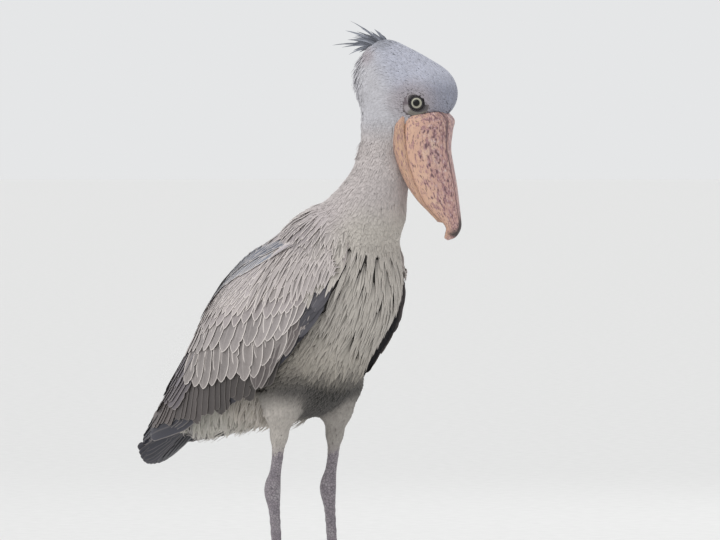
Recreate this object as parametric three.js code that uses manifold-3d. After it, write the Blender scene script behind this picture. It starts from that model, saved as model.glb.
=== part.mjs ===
// A standing shoebill at life size, in millimetres: +X is forward, +Y is the bird's left, +Z is up.
// The bill hangs down beside the neck, and the head is turned a little to the bird's left.
import * as THREE from 'three';
import Module from 'manifold-3d';

const wasm = await Module();
wasm.setup();

// Driving dimensions of the whole bird
const gap = 0.35;
const headTurn = THREE.MathUtils.degToRad(20);
const neckX = 195;
const neckCutZ = 868;
const crownZ = 1050;
const irisWidth = 20;
const eyeRadius = 13;
const billHalfWidth = 49;
const nostrilRadius = 1.9;
const leftWingDroop = 26;
const legSpread = 60;
const shankRadius = 9.5;
const kneeCutZ = 300;
const ankleZ = 236;
const middleToe = 172;
const toeRadius = 8.5;
const vaneThickness = 1;

const vec = (x, y, z) => new THREE.Vector3(x, y, z);
const mix = THREE.MathUtils.lerp;
const up = vec(0, 0, 1);

// Seeded draw between two values, so that the feathers vary the same way each time
function seededDraw(seed) {
  let state = seed;
  return (low, high) => {
    state = (state * 1664525 + 1013904223) % 4294967296;
    return mix(low, high, state / 4294967296);
  };
}

// A value read off a short list of stations by a smooth curve, with t from 0 to 1
function along(values, t) {
  const last = values.length - 1;
  const place = THREE.MathUtils.clamp(t, 0, 1) * last;
  const i = Math.min(Math.floor(place), last - 1);
  const before = values[Math.max(i - 1, 0)];
  const after = values[Math.min(i + 2, last)];
  const f = place - i;
  const slope0 = (values[i + 1] - before) / (i > 0 ? 2 : 1);
  const slope1 = (after - values[i]) / (i + 2 <= last ? 2 : 1);
  const rise = values[i + 1] - values[i];
  return values[i] + f * (slope0 + f * (3 * rise - 2 * slope0 - slope1 + f * (slope0 + slope1 - 2 * rise)));
}

const curveThrough = (points) => (t) => vec(
  along(points.map((p) => p[0]), t),
  along(points.map((p) => p[1]), t),
  along(points.map((p) => p[2]), t),
);

// Closed solid skinned over rings of equal point count, with flat fans over its two ends
function skinned(rings) {
  const count = rings[0].length;
  const positions = rings.flat().flatMap((p) => [p.x, p.y, p.z]);
  const faces = [];
  for (let r = 0; r + 1 < rings.length; r += 1) {
    for (let i = 0; i < count; i += 1) {
      const a = r * count + i;
      const b = r * count + ((i + 1) % count);
      faces.push(a, b, b + count, a, b + count, a + count);
    }
  }
  const top = (rings.length - 1) * count;
  for (let i = 1; i + 1 < count; i += 1) {
    faces.push(0, i + 1, i);
    faces.push(top, top + i, top + i + 1);
  }
  return solidFrom(positions, faces);
}

// Manifold solid from positions and triangles, turned so that its faces point out
function solidFrom(positions, faces) {
  let volume = 0;
  for (let f = 0; f < faces.length; f += 3) {
    const [a, b, c] = [0, 1, 2].map((k) => vec(...positions.slice(3 * faces[f + k], 3 * faces[f + k] + 3)));
    volume += a.dot(b.cross(c));
  }
  const ordered = volume > 0 ? faces : faces.map((_, k) => faces[k - (k % 3) + [0, 2, 1][k % 3]]);
  const mesh = new wasm.Mesh({
    numProp: 3,
    vertProperties: new Float32Array(positions),
    triVerts: new Uint32Array(ordered),
  });
  mesh.merge();
  return new wasm.Manifold(mesh);
}

const union = (solids) => wasm.Manifold.union(solids);

// The largest closed surface of a solid, without sealed hollows and loose scraps
function largest(solid) {
  const pieces = solid.decompose();
  return pieces.reduce((best, piece) => (piece.volume() > best.volume() ? piece : best));
}

// Flesh: ellipsoids blended into one smooth form. Centres and radii are in millimetres, pitch in degrees
const fleshMasses = [
  { centre: [-22, 0, 520], radii: [225, 100, 106], pitch: 40, blend: 1 },
  { centre: [-62, 0, 562], radii: [200, 72, 84], pitch: 42, blend: 50 },
  { centre: [88, 0, 600], radii: [105, 96, 118], pitch: 52, blend: 60 },
  { centre: [14, 0, 464], radii: [130, 86, 94], pitch: 30, blend: 50 },
  { centre: [-165, 0, 425], radii: [128, 58, 54], pitch: 40, blend: 50 },
];
const headMasses = [
  { centre: [74, 0, 950], radii: [66, 49, 56], pitch: -12, blend: 30 },
  { centre: [6, 0, 968], radii: [56, 46, 74], pitch: 0, blend: 35 },
  { centre: [38, 0, 905], radii: [50, 48, 52], pitch: 0, blend: 35 },
];
const neckLinks = [
  { from: [106, 0, 668], to: [164, 0, 742], start: 82, end: 55, blend: 70 },
  { from: [164, 0, 742], to: [190, 0, 802], start: 56, end: 41, blend: 40 },
  { from: [192, 0, 800], to: [195, 0, 880], start: 41, end: 37, blend: 30 },
];

function ellipsoidDepth(x, y, z, mass) {
  const pitch = THREE.MathUtils.degToRad(mass.pitch);
  const dx = x - mass.centre[0];
  const dz = z - mass.centre[2];
  const lx = dx * Math.cos(pitch) + dz * Math.sin(pitch);
  const lz = dz * Math.cos(pitch) - dx * Math.sin(pitch);
  const [a, b, c] = mass.radii;
  const near = Math.hypot(lx / a, y / b, lz / c) + 1e-9;
  return (near * (near - 1)) / (Math.hypot(lx / a / a, y / b / b, lz / c / c) + 1e-9);
}

function linkDepth(x, y, z, link) {
  const from = vec(...link.from);
  const line = vec(...link.to).sub(from);
  const offset = vec(x, y, z).sub(from);
  const t = THREE.MathUtils.clamp(offset.dot(line) / line.lengthSq(), 0, 1);
  return offset.addScaledVector(line, -t).length() - mix(link.start, link.end, t);
}

function blended(a, b, width) {
  const h = Math.max(width - Math.abs(a - b), 0) / width;
  return Math.min(a, b) - (h * h * width) / 4;
}

// Point given in the head's own frame, forward h, left y and height z
function headPoint(h, y, z) {
  return vec(
    neckX + h * Math.cos(headTurn) - y * Math.sin(headTurn),
    h * Math.sin(headTurn) + y * Math.cos(headTurn),
    z,
  );
}

const headForward = vec(Math.cos(headTurn), Math.sin(headTurn), 0);
const headLeft = vec(-Math.sin(headTurn), Math.cos(headTurn), 0);

// Signed distance to the skin, below zero inside
function fleshDepth(p) {
  let depth = 1e6;
  for (const mass of fleshMasses) {
    depth = blended(depth, ellipsoidDepth(p.x, p.y, p.z, mass), mass.blend);
  }
  for (const link of neckLinks) {
    depth = blended(depth, linkDepth(p.x, p.y, p.z, link), link.blend);
  }
  const h = (p.x - neckX) * Math.cos(headTurn) + p.y * Math.sin(headTurn);
  const y = p.y * Math.cos(headTurn) - (p.x - neckX) * Math.sin(headTurn);
  let head = 1e6;
  for (const mass of headMasses) {
    head = blended(head, ellipsoidDepth(h, y, p.z, mass), mass.blend);
  }
  return blended(depth, head, 30);
}

// Distance from a point inside the flesh to its skin, raised by a margin, in one direction
function reach(origin, direction, margin) {
  let low = 0;
  let high = 0;
  while (fleshDepth(origin.clone().addScaledVector(direction, high)) < margin && high < 320) {
    low = high;
    high += 6;
  }
  for (let i = 0; i < 18; i += 1) {
    const middle = (low + high) / 2;
    if (fleshDepth(origin.clone().addScaledVector(direction, middle)) < margin) {
      low = middle;
    } else {
      high = middle;
    }
  }
  return low;
}

// The line that the body is skinned round, from the tail root up to the neck's top
const spine = curveThrough([
  [-246, 0, 368], [-176, 0, 420], [-100, 0, 470], [-22, 0, 524], [50, 0, 582], [108, 0, 640],
  [150, 0, 700], [177, 0, 756], [190, 0, 812], [195, 0, 860], [196, 0, 910],
]);
const neckCut = 0.655;

// Ring of the body's skin, with angle 0 on the back and a quarter turn on the bird's left
function bodyPoint(s, angle, margin) {
  const origin = spine(s);
  const tangent = spine(Math.min(s + 0.01, 1)).sub(spine(Math.max(s - 0.01, 0))).normalize();
  const back = vec(-tangent.z, 0, tangent.x);
  const direction = back.multiplyScalar(Math.cos(angle)).add(vec(0, Math.sin(angle), 0));
  return origin.addScaledVector(direction, reach(origin, direction, margin));
}

function bodyRing(s, sides, margin) {
  return Array.from({ length: sides }, (_, i) => bodyPoint(s, (2 * Math.PI * i) / sides, margin));
}

function bodyLength(start, end, steps, sides, margin) {
  const rings = Array.from({ length: steps + 1 }, (_, i) => bodyRing(mix(start, end, i / steps), sides, margin));
  return rings;
}

// Level ring of the head round an upright line that leans forward above the neck
const headAxis = (z) => headPoint(along([8, 32, 36, 20, 4], (z - neckCutZ) / (crownZ - neckCutZ)), 0, z);

function headRing(z, sides, margin) {
  const origin = headAxis(z);
  return Array.from({ length: sides }, (_, i) => {
    const angle = (2 * Math.PI * i) / sides;
    const direction = headForward.clone().multiplyScalar(Math.cos(angle));
    direction.addScaledVector(headLeft, Math.sin(angle));
    return origin.clone().addScaledVector(direction, reach(origin, direction, margin));
  });
}

function headFlesh(margin) {
  const sides = 22;
  const steps = 12;
  const top = headTop() + margin;
  const bottom = neckCutZ + gap - margin;
  const rings = Array.from({ length: steps + 1 }, (_, i) => {
    const t = i / steps;
    const z = mix(bottom, top - 0.4, Math.sin((t * Math.PI) / 2) * 0.5 + t * 0.5);
    return headRing(z, sides, margin);
  });
  return skinned(rings);
}

function headTop() {
  const origin = headAxis(crownZ - 30);
  return origin.z + reach(origin, up, 0);
}

// Bill, as stations down its length: culmen, mouth line and underside as [forward, height] in the head's frame
const billStations = [
  { culmen: [112, 930], mouth: [64, 926], under: [38, 918], width: 0.8, ridge: 26, rise: 7 },
  { culmen: [130, 905], mouth: [58, 902], under: [29, 900], width: 0.98, ridge: 23, rise: 9 },
  { culmen: [128, 880], mouth: [57, 878], under: [25, 876], width: 1, ridge: 18, rise: 8 },
  { culmen: [126, 848], mouth: [60, 846], under: [25, 846], width: 0.98, ridge: 13, rise: 6 },
  { culmen: [132, 814], mouth: [66, 814], under: [34, 816], width: 0.93, ridge: 11, rise: 5 },
  { culmen: [138, 782], mouth: [76, 784], under: [48, 786], width: 0.86, ridge: 10, rise: 4 },
  { culmen: [142, 752], mouth: [88, 755], under: [68, 758], width: 0.74, ridge: 9, rise: 3.5 },
  { culmen: [145, 728], mouth: [104, 733], under: [88, 737], width: 0.56, ridge: 8, rise: 3 },
  { culmen: [146, 711], mouth: [118, 717], under: [104, 719], width: 0.38, ridge: 7, rise: 2 },
];
const nailStations = [
  { culmen: [142, 699], mouth: [122, 707], width: 0.25, ridge: 5, rise: 1 },
  { culmen: [134, 690], mouth: [119, 698], width: 0.16, ridge: 3.5, rise: 0.6 },
  { culmen: [122, 686], mouth: [116, 690], width: 0.07, ridge: 2, rise: 0.2 },
];

function upperBillRing(station) {
  const culmen = headPoint(station.culmen[0], 0, station.culmen[1]);
  const mouth = headPoint(station.mouth[0], 0, station.mouth[1]);
  const depth = mouth.sub(culmen);
  const half = billHalfWidth * station.width;
  const deep = depth.length();
  const inward = depth.clone().normalize();
  // Half of the section from the ridge of the culmen round the groove and cheek to the mouth's edge
  const profile = [
    [0, 0],
    [0.02 * deep, station.ridge * 0.75],
    [station.rise, station.ridge * 0.95],
    [station.rise + 0.07 * deep, Math.min(station.ridge * 1.45, half * 0.8)],
    [0.4 * deep, half * 0.86],
    [0.7 * deep, half],
    [0.93 * deep, half * 0.99],
    [deep, half * 0.93],
  ];
  const side = (sign) => profile.map(([d, w]) => culmen.clone()
    .addScaledVector(inward, d).addScaledVector(headLeft, sign * w));
  return [...side(1), ...side(-1).slice(1).reverse()];
}

function lowerBillRing(station) {
  const mouth = headPoint(station.mouth[0], 0, station.mouth[1]);
  const under = headPoint(station.under[0], 0, station.under[1]);
  const depth = under.sub(mouth);
  const inward = depth.clone().normalize();
  const start = mouth.addScaledVector(inward, gap);
  const deep = depth.length() - gap;
  const half = billHalfWidth * station.width;
  const profile = [[0, half * 0.92], [0.25 * deep, half * 0.95], [0.6 * deep, half * 0.83], [0.88 * deep, half * 0.55], [deep, half * 0.2]];
  const side = (sign) => profile.map(([d, w]) => start.clone()
    .addScaledVector(inward, d).addScaledVector(headLeft, sign * w));
  return [...side(1), ...side(-1).reverse()];
}

// Slit of a nostril in the groove beside the culmen
function nostril(side) {
  const points = [[119, 24, 911], [121, 23, 901], [121, 21, 889]].map(([h, y, z]) => headPoint(h, side * y, z));
  return limb(points.map((p) => [p.x, p.y, p.z, nostrilRadius]), 6, 2, 0);
}

// Eye: a ball sunk behind its lids, at the same place on each side of the head
const eyeForward = 80;
const eyeZ = 931;
const eyeAxis = (side) => headLeft.clone().multiplyScalar(side).addScaledVector(headForward, 0.18)
  .addScaledVector(up, 0.02).normalize();
const lidDepth = Math.sqrt(eyeRadius ** 2 - (irisWidth / 2) ** 2);

function eyeCentre(side) {
  const start = headPoint(eyeForward, 0, eyeZ);
  const out = headLeft.clone().multiplyScalar(side);
  const surface = start.clone().addScaledVector(out, reach(start, out, 0));
  return surface.addScaledVector(eyeAxis(side), -lidDepth + 1.5);
}

// Ball with its poles on the left and right, cut flat where it would pass the floor
function ball(centre, radius, around, stacks) {
  const rings = [];
  for (let k = 0; k <= stacks; k += 1) {
    const polar = mix(0.12, Math.PI - 0.12, k / stacks);
    rings.push(Array.from({ length: around }, (_, i) => {
      const angle = (2 * Math.PI * i) / around;
      const p = centre.clone().add(vec(
        radius * Math.sin(polar) * Math.cos(angle),
        radius * Math.cos(polar),
        radius * Math.sin(polar) * Math.sin(angle),
      ));
      p.z = Math.max(p.z, 0);
      return p;
    }));
  }
  return skinned(rings);
}

// Ball that holds the eye and its lids, kept clear of the bill
const lidClearance = (side) => ball(eyeCentre(side), Math.hypot(irisWidth / 2 + 4.6, lidDepth) + gap, 14, 8);

function lidRing(side) {
  const axis = eyeAxis(side);
  const across = vec().crossVectors(up, axis).normalize();
  const upward = vec().crossVectors(axis, across).normalize();
  const centre = eyeCentre(side).addScaledVector(axis, lidDepth - 1.5);
  const around = 12;
  const section = 4;
  const positions = [];
  const faces = [];
  for (let i = 0; i < around; i += 1) {
    const angle = (2 * Math.PI * i) / around;
    const ring = irisWidth / 2 + 1.9;
    const out = across.clone().multiplyScalar(Math.cos(angle) * 1.08).addScaledVector(upward, Math.sin(angle));
    for (let k = 0; k < section; k += 1) {
      const turn = (2 * Math.PI * k) / section;
      const thick = 2.1 + 0.5 * Math.sin(angle);
      const p = centre.clone().addScaledVector(out, ring + thick * Math.cos(turn));
      p.addScaledVector(axis, thick * 1.2 * Math.sin(turn));
      positions.push(p.x, p.y, p.z);
      const next = (i + 1) % around;
      const turned = (k + 1) % section;
      const a = i * section + k;
      const b = next * section + k;
      faces.push(a, b, next * section + turned, a, next * section + turned, i * section + turned);
    }
  }
  return solidFrom(positions, faces);
}

// Folded wing as a curved sheet: u runs from the wrist to the tip, v from the back edge to the lower edge
const wingTopPoints = [
  [120, 54, 702], [46, 61, 690], [-40, 61, 660], [-102, 56, 620], [-155, 49, 568],
  [-202, 40, 510], [-252, 29, 450], [-300, 17, 390], [-342, 10, 346],
];
const wingBottomPoints = [
  [166, 92, 606], [112, 114, 515], [20, 116, 424], [-55, 110, 396], [-118, 98, 370],
  [-180, 87, 356], [-236, 75, 350], [-288, 62, 338], [-328, 50, 320],
];
const wingBulge = [8, 34, 46, 46, 38, 28, 18, 10, 5];
const wingDepth = [22, 70, 92, 90, 74, 52, 32, 18, 8];
const wingTop = curveThrough(wingTopPoints);
const wingBottom = curveThrough(wingBottomPoints);

function wingPoint(u, v, side, rise) {
  const top = wingTop(u);
  const bottom = wingBottom(u);
  if (side > 0) {
    bottom.x += leftWingDroop * Math.sin(Math.PI * THREE.MathUtils.clamp(u, 0, 1));
  }
  const ahead = wingTop(Math.min(u + 0.02, 1)).add(wingBottom(Math.min(u + 0.02, 1)));
  const behind = wingTop(Math.max(u - 0.02, 0)).add(wingBottom(Math.max(u - 0.02, 0)));
  const out = vec().crossVectors(bottom.clone().sub(top), ahead.sub(behind)).normalize();
  const arch = Math.sin(Math.PI * THREE.MathUtils.clamp(v, 0, 1)) ** 0.85;
  const p = top.lerp(bottom, v).addScaledVector(out, along(wingBulge, u) * arch + rise);
  return vec(p.x, side * p.y, p.z);
}

// Body of the wing under its feathers: a lens that thins out to its back and lower edges
function wingCore(side, uEnd, vEnd, grow) {
  const steps = 7;
  const across = 6;
  const rings = [];
  for (let i = 0; i <= steps; i += 1) {
    const u = mix(0, uEnd, i / steps);
    const place = (k, last, rise) => wingPoint(u, mix(-grow / 150, vEnd, k / last), side, rise);
    const outer = Array.from({ length: across }, (_, k) => place(k, across - 1, grow));
    const inner = Array.from({ length: 5 }, (_, k) => {
      const depth = along(wingDepth, u) * Math.sin((Math.PI * (k + 1)) / 6);
      return place(5 - k, 6, -depth - grow);
    });
    rings.push([...outer, ...inner]);
  }
  return skinned(rings);
}

// Thin tapering plate of a feather, from rings of four corners, both faces split alike
function plate(rings) {
  const positions = rings.flat().flatMap((p) => [p.x, p.y, p.z]);
  const faces = [];
  for (let r = 0; r + 1 < rings.length; r += 1) {
    for (let i = 0; i < 4; i += 1) {
      const a = r * 4 + i;
      const b = r * 4 + ((i + 1) % 4);
      if (i === 2) {
        faces.push(a, b, a + 4, b, b + 4, a + 4);
      } else {
        faces.push(a, b, b + 4, a, b + 4, a + 4);
      }
    }
  }
  const top = (rings.length - 1) * 4;
  faces.push(0, 2, 1, 0, 3, 2, top, top + 1, top + 2, top, top + 2, top + 3);
  return solidFrom(positions, faces);
}

// One feather laid over a surface from its root to its tip, both given on the surface's two directions.
// It leaves the surface's flesh a little way past the root, and tilts so that it lies over its neighbour
function vane(surface, root, tip, { width, rise, tilt = 0, sink = 3.5, shape = vaneShape }) {
  const rings = shape.map(([t, wide]) => {
    const at = (f) => surface(mix(root[0], tip[0], f), mix(root[1], tip[1], f));
    const here = at(t);
    const ahead = at(t + 0.02).point.sub(at(t - 0.02).point).normalize();
    const out = here.out.clone().addScaledVector(ahead, -here.out.dot(ahead)).normalize();
    const across = vec().crossVectors(out, ahead);
    const height = t === 0 ? -sink : rise * Math.min(1, 0.55 + t) + 0.8 * t;
    const half = (width * wide) / 2;
    const corner = (s, f) => here.point.clone().addScaledVector(across, s * half)
      .addScaledVector(out, height + f * vaneThickness + s * half * tilt);
    return [corner(-1, 0), corner(1, 0), corner(1, 1), corner(-1, 1)];
  });
  return plate(rings);
}

const vaneShape = [[0, 0.6], [0.42, 1], [0.8, 0.88], [1, 0.3]];
const plumeShape = [[0, 0.6], [0.35, 1], [0.75, 0.7], [1, 0.12]];

// Wing surface with its outward direction, for the feathers that lie on it
function wingSurface(side) {
  return (u, v) => {
    const point = wingPoint(u, v, side, 0);
    return { point, out: wingPoint(u, v, side, 1).sub(point).normalize() };
  };
}

// Tiers of the folded wing, lowest first. Each runs along a line of roots on the sheet, from the wrist back
const wingTiers = [
  { count: 3, from: [0.6, 0.76], to: [0.56, 0.3], step: [0.4, 0.04], spread: [0.34, 0.1], width: 38, rise: 1.4 },
  { count: 7, from: [0.1, 0.64], to: [0.6, 0.62], step: [0.2, 0.36], spread: [0.24, 0.34], width: 35, rise: 2 },
  { count: 3, from: [0.62, 0.48], to: [0.5, 0.12], step: [0.24, 0.3], spread: [0.3, 0.14], width: 34, rise: 3.4 },
  { count: 7, from: [0.06, 0.44], to: [0.56, 0.34], step: [0.14, 0.34], spread: [0.16, 0.3], width: 32, rise: 4.4 },
  { count: 6, from: [0.08, 0.25], to: [0.5, 0.2], step: [0.1, 0.28], spread: [0.13, 0.26], width: 30, rise: 6.4 },
  { count: 4, from: [0.12, 0.1], to: [0.42, 0.04], step: [0.1, 0.2], spread: [0.14, 0.2], width: 32, rise: 7 },
];

function wingVanes(side) {
  const draw = seededDraw(side + 7);
  const surface = wingSurface(side);
  return wingTiers.flatMap((tier) => Array.from({ length: tier.count }, (_, i) => {
    const t = i / (tier.count - 1);
    const root = [mix(tier.from[0], tier.to[0], t), mix(tier.from[1], tier.to[1], t)];
    const step = [mix(tier.step[0], tier.spread[0], t), mix(tier.step[1], tier.spread[1], t)];
    const long = draw(0.95, 1.05);
    const tip = [root[0] + step[0] * long, root[1] + step[1] * long];
    return vane(surface, root, tip, { width: tier.width * draw(0.94, 1.06), rise: tier.rise, tilt: -side * 0.16 });
  }));
}

// Round tapering solid along a line of points, each [x, y, z, radius], flattened below on the floor
function limb(points, sides, steps, floor) {
  const centre = curveThrough(points);
  const rings = [];
  for (let i = 0; i <= steps; i += 1) {
    const t = i / steps;
    const tangent = centre(Math.min(t + 0.02, 1)).sub(centre(Math.max(t - 0.02, 0))).normalize();
    const guide = Math.abs(tangent.z) > 0.8 ? vec(1, 0, 0) : up;
    const a = vec().crossVectors(guide, tangent).normalize();
    const b = vec().crossVectors(tangent, a).normalize();
    const radius = along(points.map((p) => p[3]), t);
    rings.push(Array.from({ length: sides }, (_, k) => {
      const angle = (2 * Math.PI * (k + 0.5)) / sides;
      const p = centre(t).addScaledVector(a, radius * Math.cos(angle)).addScaledVector(b, radius * Math.sin(angle));
      p.z = Math.max(p.z, floor);
      return p;
    }));
  }
  return skinned(rings);
}

// Tail: a short root under its coverts, and twelve feathers fanned out from it
const tailRoot = vec(-222, 0, 378);
const tailTip = vec(-345, 0, 272);
const tailHalfWidth = 56;
const tailFlare = 24;

function tailSurface(u, v) {
  const point = tailRoot.clone().lerp(tailTip, u);
  point.y = v * mix(30, tailHalfWidth, u);
  point.z += tailFlare * u * v * v;
  return { point, out: vec(-0.65, -0.4 * v, 0.76).normalize() };
}

function tailForm() {
  const stations = [[-0.1, 22, 0.9], [0.12, 20, 1], [0.34, 12, 0.92], [0.52, 4, 0.8]];
  const core = skinned(stations.map(([u, thick, wide]) => Array.from({ length: 12 }, (_, i) => {
    const angle = (2 * Math.PI * i) / 12;
    const { point, out } = tailSurface(u, wide * Math.cos(angle));
    return point.addScaledVector(out, thick * 0.6 * Math.sin(angle) - 3);
  })));
  const vanes = Array.from({ length: 12 }, (_, i) => {
    const v = (i - 5.5) / 5.5;
    const rise = 6 - 12 * Math.abs(v) + (i % 2) * 1.6 * (Math.abs(v) < 0.2 ? 1 : 0);
    const long = 1 - 0.1 * v * v;
    return vane(tailSurface, [0.05, v * 0.7], [long, v * 0.92], { width: 30, rise, sink: -rise * 0.5 });
  });
  return union([core, ...vanes]);
}

// Crest of loose feathers at the back of the crown, each leaning back from its root
const crestFeathers = [
  { root: [-8, 2, 1038], lean: 50, swing: 4, length: 66, width: 5 },
  { root: [-12, -5, 1037], lean: 30, swing: -6, length: 56, width: 8 },
  { root: [-20, -1, 1033], lean: 13, swing: -4, length: 70, width: 6 },
  { root: [-26, 6, 1029], lean: -2, swing: 10, length: 44, width: 6 },
  { root: [0, -4, 1040], lean: 48, swing: -10, length: 34, width: 9 },
  { root: [2, 5, 1040], lean: 60, swing: 8, length: 28, width: 8 },
  { root: [-14, -10, 1034], lean: 22, swing: -14, length: 44, width: 8 },
  { root: [-10, 9, 1036], lean: 38, swing: 12, length: 46, width: 7 },
];

function crestFeather({ root, lean, swing, length, width }) {
  const start = headPoint(...root);
  const tilt = THREE.MathUtils.degToRad(lean);
  const turn = THREE.MathUtils.degToRad(swing);
  const back = headForward.clone().multiplyScalar(-Math.cos(turn)).addScaledVector(headLeft, Math.sin(turn));
  const surface = (u) => {
    const bend = tilt - 0.22 * u;
    const point = start.clone().addScaledVector(back, length * u * Math.cos(bend))
      .addScaledVector(up, length * u * Math.sin(bend));
    return { point, out: up.clone().multiplyScalar(Math.cos(bend)).addScaledVector(back, -Math.sin(bend)) };
  };
  return vane(surface, [-0.25, 0], [1, 0], { width, rise: 0.01, sink: 0, shape: plumeShape });
}

// Long plumes of the breast and throat, in rows that part round the front and lean back on the sides
const plumeRows = [
  { s: 0.63, count: 7, spread: 76, fall: 0.12 }, { s: 0.575, count: 7, spread: 66, fall: 0.12 },
  { s: 0.52, count: 6, spread: 52, fall: 0.12 }, { s: 0.465, count: 5, spread: 42, fall: 0.11 },
];

function bodySurface(s, degrees) {
  const angle = THREE.MathUtils.degToRad(degrees);
  const point = bodyPoint(s, angle, 0);
  return { point, out: point.clone().sub(spine(s)).normalize() };
}

function breastPlumes() {
  const draw = seededDraw(31);
  return plumeRows.flatMap(({ s, count, spread, fall }, row) => Array.from({ length: count }, (_, i) => {
    const place = (2 * (i + 0.5 * (row % 2))) / (count - 1 + 0.5 * (row % 2)) - 1;
    const degrees = 180 + spread * place;
    const lean = 13 * place;
    const tip = [s - fall * draw(0.9, 1.1), degrees + lean + draw(-2, 2)];
    return vane(bodySurface, [s, degrees], tip, { width: 22, rise: 2.8, shape: plumeShape });
  }));
}

// Leg and foot places, with the left foot a little ahead of the right
const legs = {
  right: { side: -1, hipX: 0, ankleX: -14, footX: 6 },
  left: { side: 1, hipX: 29, ankleX: 15, footX: 34 },
};

function thighForm(leg, grow) {
  const y = leg.side * legSpread;
  return limb([
    [leg.hipX + 14, y * 0.86, 484, 46 + grow], [leg.hipX + 12, y * 0.94, 425, 43 + grow],
    [leg.hipX + 6, y, 378, 30 + grow], [leg.hipX + 2, y, 334, 16 + grow],
    [leg.hipX, y, kneeCutZ - 6, shankRadius + 1.5 + grow],
  ], 14, 8, 0).trimByPlane([0, 0, 1], kneeCutZ);
}

function shankForm(leg) {
  const y = leg.side * legSpread;
  return limb([
    [leg.hipX, y, kneeCutZ + 6, shankRadius], [(leg.hipX + leg.ankleX) / 2, y, 268, shankRadius],
    [leg.ankleX, y, ankleZ, 14.5], [mix(leg.ankleX, leg.footX, 0.25), y, 196, shankRadius],
    [mix(leg.ankleX, leg.footX, 0.6), y, 118, shankRadius * 0.95], [leg.footX - 1, y, 46, shankRadius * 1.1],
    [leg.footX, y, 16, shankRadius * 1.25],
  ], 9, 11, 0).trimByPlane([0, 0, -1], gap - kneeCutZ);
}

const footHub = (leg, grow) => ball(vec(leg.footX, leg.side * legSpread, 14.5), 15 + grow, 12, 6);

const toes = [
  { name: 'inner', turn: -26, length: 0.8, bend: 6 },
  { name: 'middle', turn: 2, length: 1, bend: 0 },
  { name: 'outer', turn: 30, length: 0.84, bend: -6 },
  { name: 'hind', turn: 172, length: 0.5, bend: 0 },
];

function toeLine(leg, toe) {
  const turn = THREE.MathUtils.degToRad(toe.turn * leg.side);
  const length = middleToe * toe.length;
  const forward = vec(Math.cos(turn), Math.sin(turn), 0);
  const sideways = vec(-Math.sin(turn), Math.cos(turn), 0);
  return (t, z) => vec(leg.footX, leg.side * legSpread, z)
    .addScaledVector(forward, length * t).addScaledVector(sideways, toe.bend * leg.side * t * t);
}

function toeForm(leg, toe) {
  const place = toeLine(leg, toe);
  const knuckles = toe.name === 'hind' ? 2 : 4;
  const points = [];
  const steps = knuckles * 2 + 1;
  for (let i = 0; i <= steps; i += 1) {
    const t = mix(0.02, 1, i / steps);
    const pad = i % 2 === 1 ? 1.08 : 0.9;
    const radius = toeRadius * mix(1, 0.62, t) * pad;
    const p = place(t, radius * 0.82);
    points.push([p.x, p.y, p.z, radius]);
  }
  return limb(points, 8, steps + 1, 0);
}

// Toe cut half way to each of its neighbours, so that they part cleanly beside the foot
function partedToe(leg, toe) {
  let solid = toeForm(leg, toe).subtract(footHub(leg, gap));
  for (const other of toes.filter(({ turn }) => turn !== toe.turn && Math.abs(turn - toe.turn) < 90)) {
    const half = THREE.MathUtils.degToRad(((toe.turn + other.turn) / 2) * leg.side);
    const away = vec(-Math.sin(half), Math.cos(half), 0).multiplyScalar(Math.sign((toe.turn - other.turn) * leg.side));
    const offset = away.dot(vec(leg.footX, leg.side * legSpread, 0)) + gap / 2;
    solid = solid.trimByPlane(away.toArray(), offset);
  }
  return solid;
}

function clawForm(leg, toe) {
  const place = toeLine(leg, toe);
  const length = middleToe * toe.length;
  const long = toe.name === 'hind' ? 20 : 22;
  const points = [0, 0.35, 0.7, 1].map((t) => {
    const p = place(0.98 + (long * t) / length, mix(6.2, 1.4, t * t) + 1.2 * Math.sin(Math.PI * t));
    return [p.x, p.y, p.z, mix(4.4, 0.8, t)];
  });
  const end = place(1, 0);
  const ahead = end.clone().sub(place(0.98, 0)).normalize();
  return limb(points, 6, 4, 0.6).trimByPlane([ahead.x, ahead.y, 0], end.dot(ahead) + gap);
}

// Nodes and their colours
const finishes = {
  headGrey: { color: 0xa9afc0, roughness: 0.9, metalness: 0 },
  neckGrey: { color: 0xb5b0ae, roughness: 0.9, metalness: 0 },
  wingGrey: { color: 0x8f8890, roughness: 0.85, metalness: 0 },
  tailDark: { color: 0x2f2f3a, roughness: 0.8, metalness: 0 },
  billHorn: { color: 0xd9ae86, roughness: 0.5, metalness: 0 },
  legGrey: { color: 0x77717a, roughness: 0.7, metalness: 0 },
  clawDark: { color: 0x2b2828, roughness: 0.5, metalness: 0 },
  eyePale: { color: 0xd8d6b8, roughness: 0.15, metalness: 0 },
};

const bird = new THREE.Group();

function addNode(name, solid, finish) {
  const body = largest(solid);
  const { vertProperties, triVerts } = body.getMesh();
  const geometry = new THREE.BufferGeometry();
  geometry.setAttribute('position', new THREE.BufferAttribute(new Float32Array(vertProperties), 3));
  geometry.setIndex(new THREE.BufferAttribute(new Uint32Array(triVerts), 1));
  geometry.computeVertexNormals();
  const mesh = new THREE.Mesh(geometry, new THREE.MeshStandardMaterial(finishes[finish]));
  mesh.name = name;
  bird.add(mesh);
}

const sides = { right: -1, left: 1 };
const torsoGrown = skinned(bodyLength(0, neckCut, 15, 22, gap));
const headGrown = headFlesh(gap);

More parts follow.
